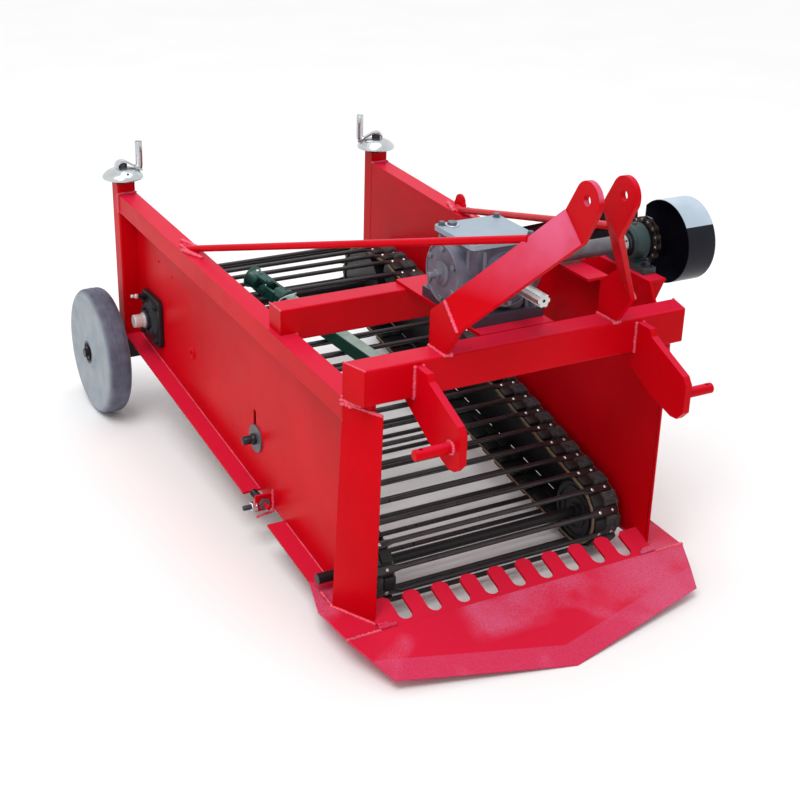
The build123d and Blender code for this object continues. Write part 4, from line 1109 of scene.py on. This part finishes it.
lathe(form, (BLOCK_X, AXIS.y, AXIS.z + 0.051), Z_AXIS,
      [(0, 0), (0, 0.009), (0.004, 0.008), (0.004, 0.003), (0.001, 0)], 16)
piece("pillow_block_rim", done(form, "block_rim"), BLOCK_CAST)


# Chain guard: a drum open toward the bearing, and a channel that covers the chain back to its rear end

CASING_IN, CASING_OUT, CASING_R = 0.506, 0.534, 0.090
GUARD_SHEET = 0.003


def drum_outline(radius, rear):
    """Round outline cut off straight at its rear."""
    half_turn = math.degrees(math.acos((rear - DRUM_AT[0]) / radius))
    return corner_arc(DRUM_AT, radius, half_turn, 360 - half_turn, 56)


def wall(form, outer, inner, near, far, closed=True):
    """Sheet wall between two outlines (y, z) of equal count, from one width to another."""
    rings = [[form.verts.new(point) for point in (
        (near, *first), (far, *first), (far, *second), (near, *second))]
        for first, second in zip(outer, inner)]
    skin(form, rings, closed)


form = bmesh.new()
outer = drum_outline(DRUM_R, DRUM_REAR)
inner = drum_outline(DRUM_R - GUARD_SHEET, DRUM_REAR - GUARD_SHEET)
wall(form, outer, inner, DRUM_IN, DRUM_OUT - GUARD_SHEET)
prism(form, [(DRUM_OUT - GUARD_SHEET, *point) for point in outer], (GUARD_SHEET, 0, 0))
rear_y, rear_z = wheel_of("rear_sprocket", 0)[:2]
hull = hull_path([(*DRUM_AT, DRUM_R), (rear_y, rear_z, CASING_R)], 0)
along_casing = [hull[0][0] * (step / 24) for step in range(25)]
along_casing += [hull[0][0] + hull[1][0] * (step / 20) for step in range(1, 21)]
along_casing += [hull[0][0] + hull[1][0] + hull[2][0] * (step / 24) for step in range(1, 25)]
places = [on_path(hull, distance) for distance in along_casing]
places = [place for place in places if place[0] > DRUM_REAR - 0.02]
outer = [(y, z) for y, z, angle in places]
inner = [(y - GUARD_SHEET * math.cos(angle), z - GUARD_SHEET * math.sin(angle)) for y, z, angle in places]
wall(form, outer, inner, CASING_IN, CASING_OUT - GUARD_SHEET, closed=False)
prism(form, [(CASING_OUT - GUARD_SHEET, *point) for point in outer], (GUARD_SHEET, 0, 0))
brick(form, (CASING_OUT - GUARD_SHEET, DRUM_REAR - 0.03, DRUM_AT[1] - 0.05),
      (DRUM_IN + 0.004, DRUM_REAR - 0.002, DRUM_AT[1] + 0.05))
for y, reach in ((-0.415, 0.470), (0.115, 0.500)):
    brick(form, (reach, y - 0.015, rail_top(y)), (CASING_IN + 0.006, y + 0.015, rail_top(y) + 0.008))
piece("guard_shell", done(form, "guard_shell"), guard_sheet(), replaces=["chain_guard"])


# Stowed power shaft: flared lips, cross caps and wire clips

SHAFT_REAR, SHAFT_FRONT = Vector((-0.190, 0.500, 0.554)), Vector((0.062, -0.245, 0.367))
JOINT = 0.160
shaft_run = SHAFT_FRONT - SHAFT_REAR
shaft_axis = shaft_run.normalized()
shaft_up = (Z_AXIS - shaft_axis * Z_AXIS.dot(shaft_axis)).normalized()
shaft_side = shaft_axis.cross(shaft_up)
form = bmesh.new()
clips = bmesh.new()
for start, inward in ((SHAFT_REAR, shaft_axis), (SHAFT_FRONT, -shaft_axis)):
    lathe(form, start, inward, [
        (0, 0.017), (0, 0.036), (0.003, 0.0375), (0.007, 0.0350), (0.014, 0.0310), (0.036, 0.0310),
        (0.041, 0.0270), (0.041, 0.017)], 36, closed=True)
    cross_at = start + inward * JOINT / 2
    for direction in (shaft_up, shaft_side):
        for s in (-1, 1):
            lathe(form, cross_at + direction * s * 0.0275, direction * s,
                  [(0, 0.0135), (0.003, 0.0135), (0.004, 0.012), (0.0035, 0.009), (0.0055, 0.006),
                   (0.0055, 0)], 20)
    lathe(form, start + inward * (JOINT - 0.004), inward, [
        (0, 0.024), (0.002, 0.034), (0.010, 0.034), (0.012, 0.032), (0.012, 0.024)], 32, closed=True)
    loop_at = start + inward * (JOINT + 0.016)
    loop = []
    for a in (math.tau * step / 32 for step in range(32)):
        round_tube = (shaft_up * math.cos(a) + shaft_side * math.sin(a)) * 0.036
        loop.append(loop_at + round_tube + inward * 0.012 * math.cos(2 * a))
    tube(clips, loop, 0.0022, 8, closed=True)
    tube(clips, [start + inward * 0.020 + shaft_up * 0.018, start + inward * 0.020 + shaft_up * 0.034],
         0.0045, 10)
piece("power_shaft_caps", done(form, "shaft_caps"), GREEN)
piece("power_shaft_clips", done(clips, "shaft_clips"), WIRE_WHITE)


# Side sheets: clamping bolts in the slots, and the screws that tension the web

SLOT_AT = (-0.100, 0.296)
SCREW_X, SCREW_Z = 0.475, 0.146
THREAD_STEP = 0.003
for side, s in SIDES:
    face = Vector((s * SHEET_OUT, *SLOT_AT))
    form = bmesh.new()
    lathe(form, face, (s, 0, 0), [(0, 0.010), (0, 0.042), (0.0045, 0.042), (0.0055, 0.041), (0.0055, 0.010)],
          48, closed=True)
    for y, height in ((-0.222, 0.009), (-0.202, 0.014)):
        hex_form(form, (s * SCREW_X, y, SCREW_Z), Y_AXIS, 0.030, height)
    piece(f"slot_washer_{side}", done(form, "slot_washer"), TUBE_GREY)
    form = bmesh.new()
    hex_form(form, face + Vector((s * 0.005, 0, 0)), (s, 0, 0), 0.030, 0.014)
    lathe(form, face + Vector((s * 0.005, 0, 0)), (s, 0, 0),
          [(0, 0), (0, 0.0125), (0.036, 0.0125), (0.039, 0.010), (0.039, 0)], 24)
    thread = [(0, 0)]
    for step in range(16):
        thread += [(step * THREAD_STEP, 0.0098), (step * THREAD_STEP + THREAD_STEP / 2, 0.0112)]
    thread += [(0.049, 0.009), (0.049, 0)]
    lathe(form, (s * SCREW_X, -0.188, SCREW_Z), Y_AXIS, thread, 20)
    piece(f"slot_bolt_{side}", done(form, "slot_bolt", smooth=60), BLACK)


# Small red plates

form = bmesh.new()
lug = [(-0.030, 0), (-0.030, 0.018)] + corner_arc((0, 0.020), 0.026, 180, 0, 8) + [(0.030, 0.018), (0.030, 0)]
prism(form, [(0.486, 0.345 + y, 0.742 + z) for y, z in lug], (0.010, 0, 0))
piece("lifting_lug", done(form, "lug", bevel=0.0015), RED)
form = bmesh.new()
for side, s in SIDES:
    outline = [(0.442, -0.7405), (0.4995, -0.7405), (0.4995, -0.7455), (0.450, -0.801), (0.442, -0.801)]
    prism(form, [(s * x, y, 0.640) for x, y in outline], (0, 0, 0.0638))
piece("corner_fillers", done(form, "corner_fillers", bevel=0.001), RED)


# Front plates: they close each side channel and lean back towards the share

for side, s in SIDES:
    form = bmesh.new()
    back = Vector((s * -0.0038, 0.0047, 0))
    corners = [Vector((s * x, y, z)) for x, y, z in (
        (0.5000, -0.7430, 0.6900), (0.4320, -0.8270, 0.6730), (0.4385, -0.8230, 0.0865),
        (0.5000, -0.7000, 0.0865))]
    prism(form, corners, back)
    piece(f"leaning_plate_{side}", done(form, "leaning_plate", bevel=0.0015), RED,
          replaces=[f"front_plate_{side}"])


# Flattened foot of each brace on its top rail

for side, s in SIDES:
    form = bmesh.new()
    foot = [(0.4675, 0.3835), (0.4446, 0.3120), (0.4668, 0.2337), (0.4963, 0.3059)]
    prism(form, [(s * x, y, rail_top(y) - 0.001) for x, y in foot], (0, 0, 0.006))
    piece(f"brace_foot_{side}", done(form, "brace_foot", bevel=0.0015), RED)


# Rings on the end faces of the front roller

form = bmesh.new()
roller_y, roller_z = WEB[0][:2]
for side, s in SIDES:
    for face_x, way in ((0.327, -1), (0.407, 1)):
        for radius, thick, high in ((0.078, 0.006, 0.004), (0.052, 0.005, 0.003), (0.026, 0.010, 0.009)):
            lathe(form, (s * face_x, roller_y, roller_z), (s * way, 0, 0), [
                (-0.001, radius), (high, radius - 0.001), (high, radius - thick + 0.001),
                (-0.001, radius - thick)], 48, closed=True)
piece("roller_rings", done(form, "roller_rings"), BLACK)


# Weld beads on the seams of the frame

BEAD_WIDE, THICK_BEAD, SHARE_BEAD, FINE_BEAD = 0.0095, 0.0130, 0.0140, 0.0048


def ring_seam(centre, axis, radius, steps=20):
    """Closed seam round a bar."""
    centre, axis = Vector(centre), Vector(axis).normalized()
    one = axis.orthogonal().normalized()
    two = axis.cross(one)
    return [centre + (one * math.cos(a) + two * math.sin(a)) * radius
            for a in (math.tau * step / steps for step in range(steps + 1))]


for side, s in SIDES:
    seams = [
        [(0.343 * s, -0.818, 0.706), (0.343 * s, -0.818, 0.786)],
        [(0.320 * s, -0.818, 0.706), (0.320 * s, -0.818, 0.786)],
        [(0.343 * s, -0.816, 0.703), (0.343 * s, -0.768, 0.703)],
        ring_seam((0.3425 * s, -0.993, 0.650), X_AXIS, 0.0155),
        [(0.263 * s, -0.815, 0.801), (0.263 * s, -0.744, 0.801)],
        [(0.247 * s, -0.815, 0.801), (0.247 * s, -0.744, 0.801)],
        [(0.263 * s, -0.869, 0.883), (0.263 * s, -0.810, 0.939)],
        [(0.4990 * s, -0.7430, 0.693), (0.4340 * s, -0.8230, 0.677)],
        [(0.5015 * s, -0.7005, 0.088), (0.4400 * s, -0.8235, 0.088)],
        [(0.5005 * s, -0.698, 0.090), (0.5005 * s, -0.640, 0.096)],
        [(0.501 * s, 0.866, 0.706), (0.501 * s, 0.866, 0.762)],
        [(0.499 * s, 0.866, 0.765), (0.441 * s, 0.866, 0.765)],
        [(0.499 * s, -0.741, 0.709), (0.442 * s, -0.741, 0.709)],
        [(0.439 * s, -0.359, 0.700), (0.439 * s, -0.359, 0.716)],
        [(0.534 * s, -0.857, 0.088), (0.442 * s, -0.857, 0.089)],
        [(0.446 * s, -0.213, 0.112), (0.446 * s, -0.213, 0.180)],
        [(0.447 * s, -0.213, 0.112), (0.495 * s, -0.213, 0.106)],
    ]
    low = Vector((s * 0.470, 0.320, rail_top(0.320)))
    for x_off in (-0.013, 0.013):
        seams.append([low + Vector((x_off, -0.030, 0.001)), low + Vector((x_off, 0.034, 0.003))])
    seams.append(ring_seam((s * 0.4395, AXLE_Y, 0.300), X_AXIS, 0.021))
    welds(f"weld_beads_{side}", seams, BEAD_WIDE, seed=3 + s)
    thick = [
        [(0.4995 * s, -0.7440, 0.690), (0.4860 * s, -0.7600, 0.687)],
        [(0.4995 * s, -0.7420, 0.700), (0.4700 * s, -0.7800, 0.694)],
        [(0.262 * s, -0.818, 0.801), (0.246 * s, -0.819, 0.801)],
        [(0.4670 * s, 0.3830, rail_top(0.383) + 0.004), (0.4450 * s, 0.3120, rail_top(0.312) + 0.004)],
        [(0.4960 * s, 0.3059, rail_top(0.306) + 0.004), (0.4672 * s, 0.2340, rail_top(0.234) + 0.004)],
    ]
    welds(f"thick_welds_{side}", thick, THICK_BEAD, seed=5 + s)
    spots = [
        [(s * 0.437, -0.850, 0.0925), (s * 0.396, -0.851, 0.0925)],
        [(s * 0.434, -0.842, 0.0945), (s * 0.408, -0.844, 0.0940)],
    ]
    welds(f"share_welds_{side}", spots, SHARE_BEAD, seed=8 + s, material=SHARE_RED)


# Each side sheet: ring round its bore, paint runs, a stud with its nut, and thin pink beads along its flange
# and two top edges, a painted highlight of the bright lines there

SHEET_BASE, SHEET_FOOT, FLANGE_RISE = -0.804, 0.056, 0.129


def flange_seam(x, start, count):
    """Points every 18 mm along the foot of a side sheet."""
    places = [start + step * 0.018 for step in range(count)]
    return [(x, y, SHEET_FOOT + (y - SHEET_BASE) * FLANGE_RISE) for y in places]


for side, s in SIDES:
    form = bmesh.new()
    lathe(form, (s * SHEET_OUT, 0.388, 0.375), (s, 0, 0), [
        (-0.001, 0.0205), (0.004, 0.0200), (0.006, 0.0180), (0.006, 0.0120), (0.0005, 0.0095),
        (-0.001, 0.0095)], 32, closed=True)
    for y, z, high in ((0.660, 0.590, 0.0035), (0.545, 0.575, 0.0030), (0.205, 0.470, 0.0022)):
        run = [(-0.001, 1.6 * high), (0.4 * high, 1.3 * high), (0.8 * high, 0.7 * high), (high, 0)]
        lathe(form, (s * SHEET_OUT, y, z), (s, 0, 0), run, 14)
    piece(f"sheet_boss_{side}", done(form, "sheet_boss", smooth=70), RED)
    form = bmesh.new()
    stud_at = Vector((s * 0.446, -0.2025, 0.137))
    lathe(form, stud_at, (s, 0, 0), [(0, 0), (0, 0.0075), (0.086, 0.0075), (0.089, 0.006), (0.089, 0)], 18)
    piece(f"bracket_stud_{side}", done(form, "bracket_stud"), DARK_BOLT)
    form = bmesh.new()
    ring(form, stud_at + Vector((s * 0.0495, 0, 0)), (s, 0, 0), 0.0078, 0.0165, 0.0022, 28)
    hex_form(form, stud_at + Vector((s * 0.052, 0, 0)), (s, 0, 0), 0.026, 0.013)
    piece(f"bracket_nut_{side}", done(form, "bracket_nut"), ZINC)
    # Thin pink beads on the flange's bend and on two top edges: painted highlights
    fillet_highlights = [
        flange_seam(0.4465 * s, -0.560, 15), flange_seam(0.4465 * s, -0.122, 55),
        [(0.4785 * s, -0.8155, 0.7990), (0.4985 * s, -0.7430, 0.7990)],
        [(0.4840 * s, -0.3570, 0.7890), (0.4840 * s, -0.2890, 0.7890)],
    ]
    welds(f"flange_fillet_{side}", fillet_highlights, FINE_BEAD, seed=12 + s)


# Camera, floor and light

CAMERA_AT = Vector((-1.9606, -3.5700, 2.1822))
CAMERA_RIGHT = Vector((0.87349, -0.48604, 0.02782))
CAMERA_UP = Vector((0.18302, 0.38080, 0.90636))
CAMERA_AHEAD = Vector((0.45113, 0.78661, -0.42158))

camera_data = bpy.data.cameras.new("camera")
camera_data.sensor_width = 36
camera_data.lens = 65.46
camera = bpy.data.objects.new("camera", camera_data)
scene.collection.objects.link(camera)
camera_turn = Matrix((CAMERA_RIGHT, CAMERA_UP, -CAMERA_AHEAD)).transposed()
camera.matrix_world = Matrix.Translation(CAMERA_AT) @ camera_turn.to_4x4()
scene.camera = camera
scene.view_settings.view_transform = "Standard"

FLOOR_HALF = 12
pale_floor, floor_shader = finish("pale_floor", (0.93, 0.93, 0.93), 0.9, specular=0.1)
floor_tone = ramp(pale_floor, noise(pale_floor, 1.5, 2),
                  [(0.3, (0.92, 0.92, 0.92)), (0.7, (0.94, 0.94, 0.94))])
paint(pale_floor, floor_shader, floor_tone)
floor_mesh = bpy.data.meshes.new("floor")
corners = [(-1, -1), (1, -1), (1, 1), (-1, 1)]
floor_mesh.from_pydata([(x * FLOOR_HALF, y * FLOOR_HALF, 0) for x, y in corners], [], [(0, 1, 2, 3)])
floor = bpy.data.objects.new("floor", floor_mesh)
scene.collection.objects.link(floor)
floor_mesh.materials.append(pale_floor)

world = bpy.data.worlds.new("studio")
world.use_nodes = True
light_tree = world.node_tree
background = light_tree.nodes["Background"]
background.inputs["Color"].default_value = (1, 1, 1, 1)
rays = light_tree.nodes.new("ShaderNodeLightPath")
seen = rays.outputs["Is Camera Ray"]
for kind in ("Is Glossy Ray", "Is Transmission Ray"):
    either = light_tree.nodes.new("ShaderNodeMath")
    either.operation = "MAXIMUM"
    light_tree.links.new(seen, either.inputs[0])
    light_tree.links.new(rays.outputs[kind], either.inputs[1])
    seen = either.outputs["Value"]
strength = light_tree.nodes.new("ShaderNodeMapRange")
strength.inputs["To Min"].default_value = 0.70
strength.inputs["To Max"].default_value = 1.0
light_tree.links.new(seen, strength.inputs["Value"])
light_tree.links.new(strength.outputs["Result"], background.inputs["Strength"])
scene.world = world


def softbox(name, at, aim, size, watts):
    """Square soft light aimed at a point."""
    data = bpy.data.lights.new(name, "AREA")
    data.size = size
    data.energy = watts
    light = bpy.data.objects.new(name, data)
    light.location = at
    light.rotation_euler = (Vector(aim) - Vector(at)).to_track_quat("-Z", "Y").to_euler()
    scene.collection.objects.link(light)


softbox("key_light", (-3.0, -2.5, 4.5), (0, 0, 0.4), 1.6, 45)
softbox("top_light", (0.5, 1.0, 4.5), (0, 0, 0.4), 2.0, 35)
daylight = bpy.data.lights.new("daylight", "SUN")
daylight.energy = 1.15
daylight.angle = math.radians(30)
daylight_object = bpy.data.objects.new("daylight", daylight)
daylight_object.rotation_euler = Vector((0.35, 0.30, -1)).to_track_quat("-Z", "Y").to_euler()
scene.collection.objects.link(daylight_object)
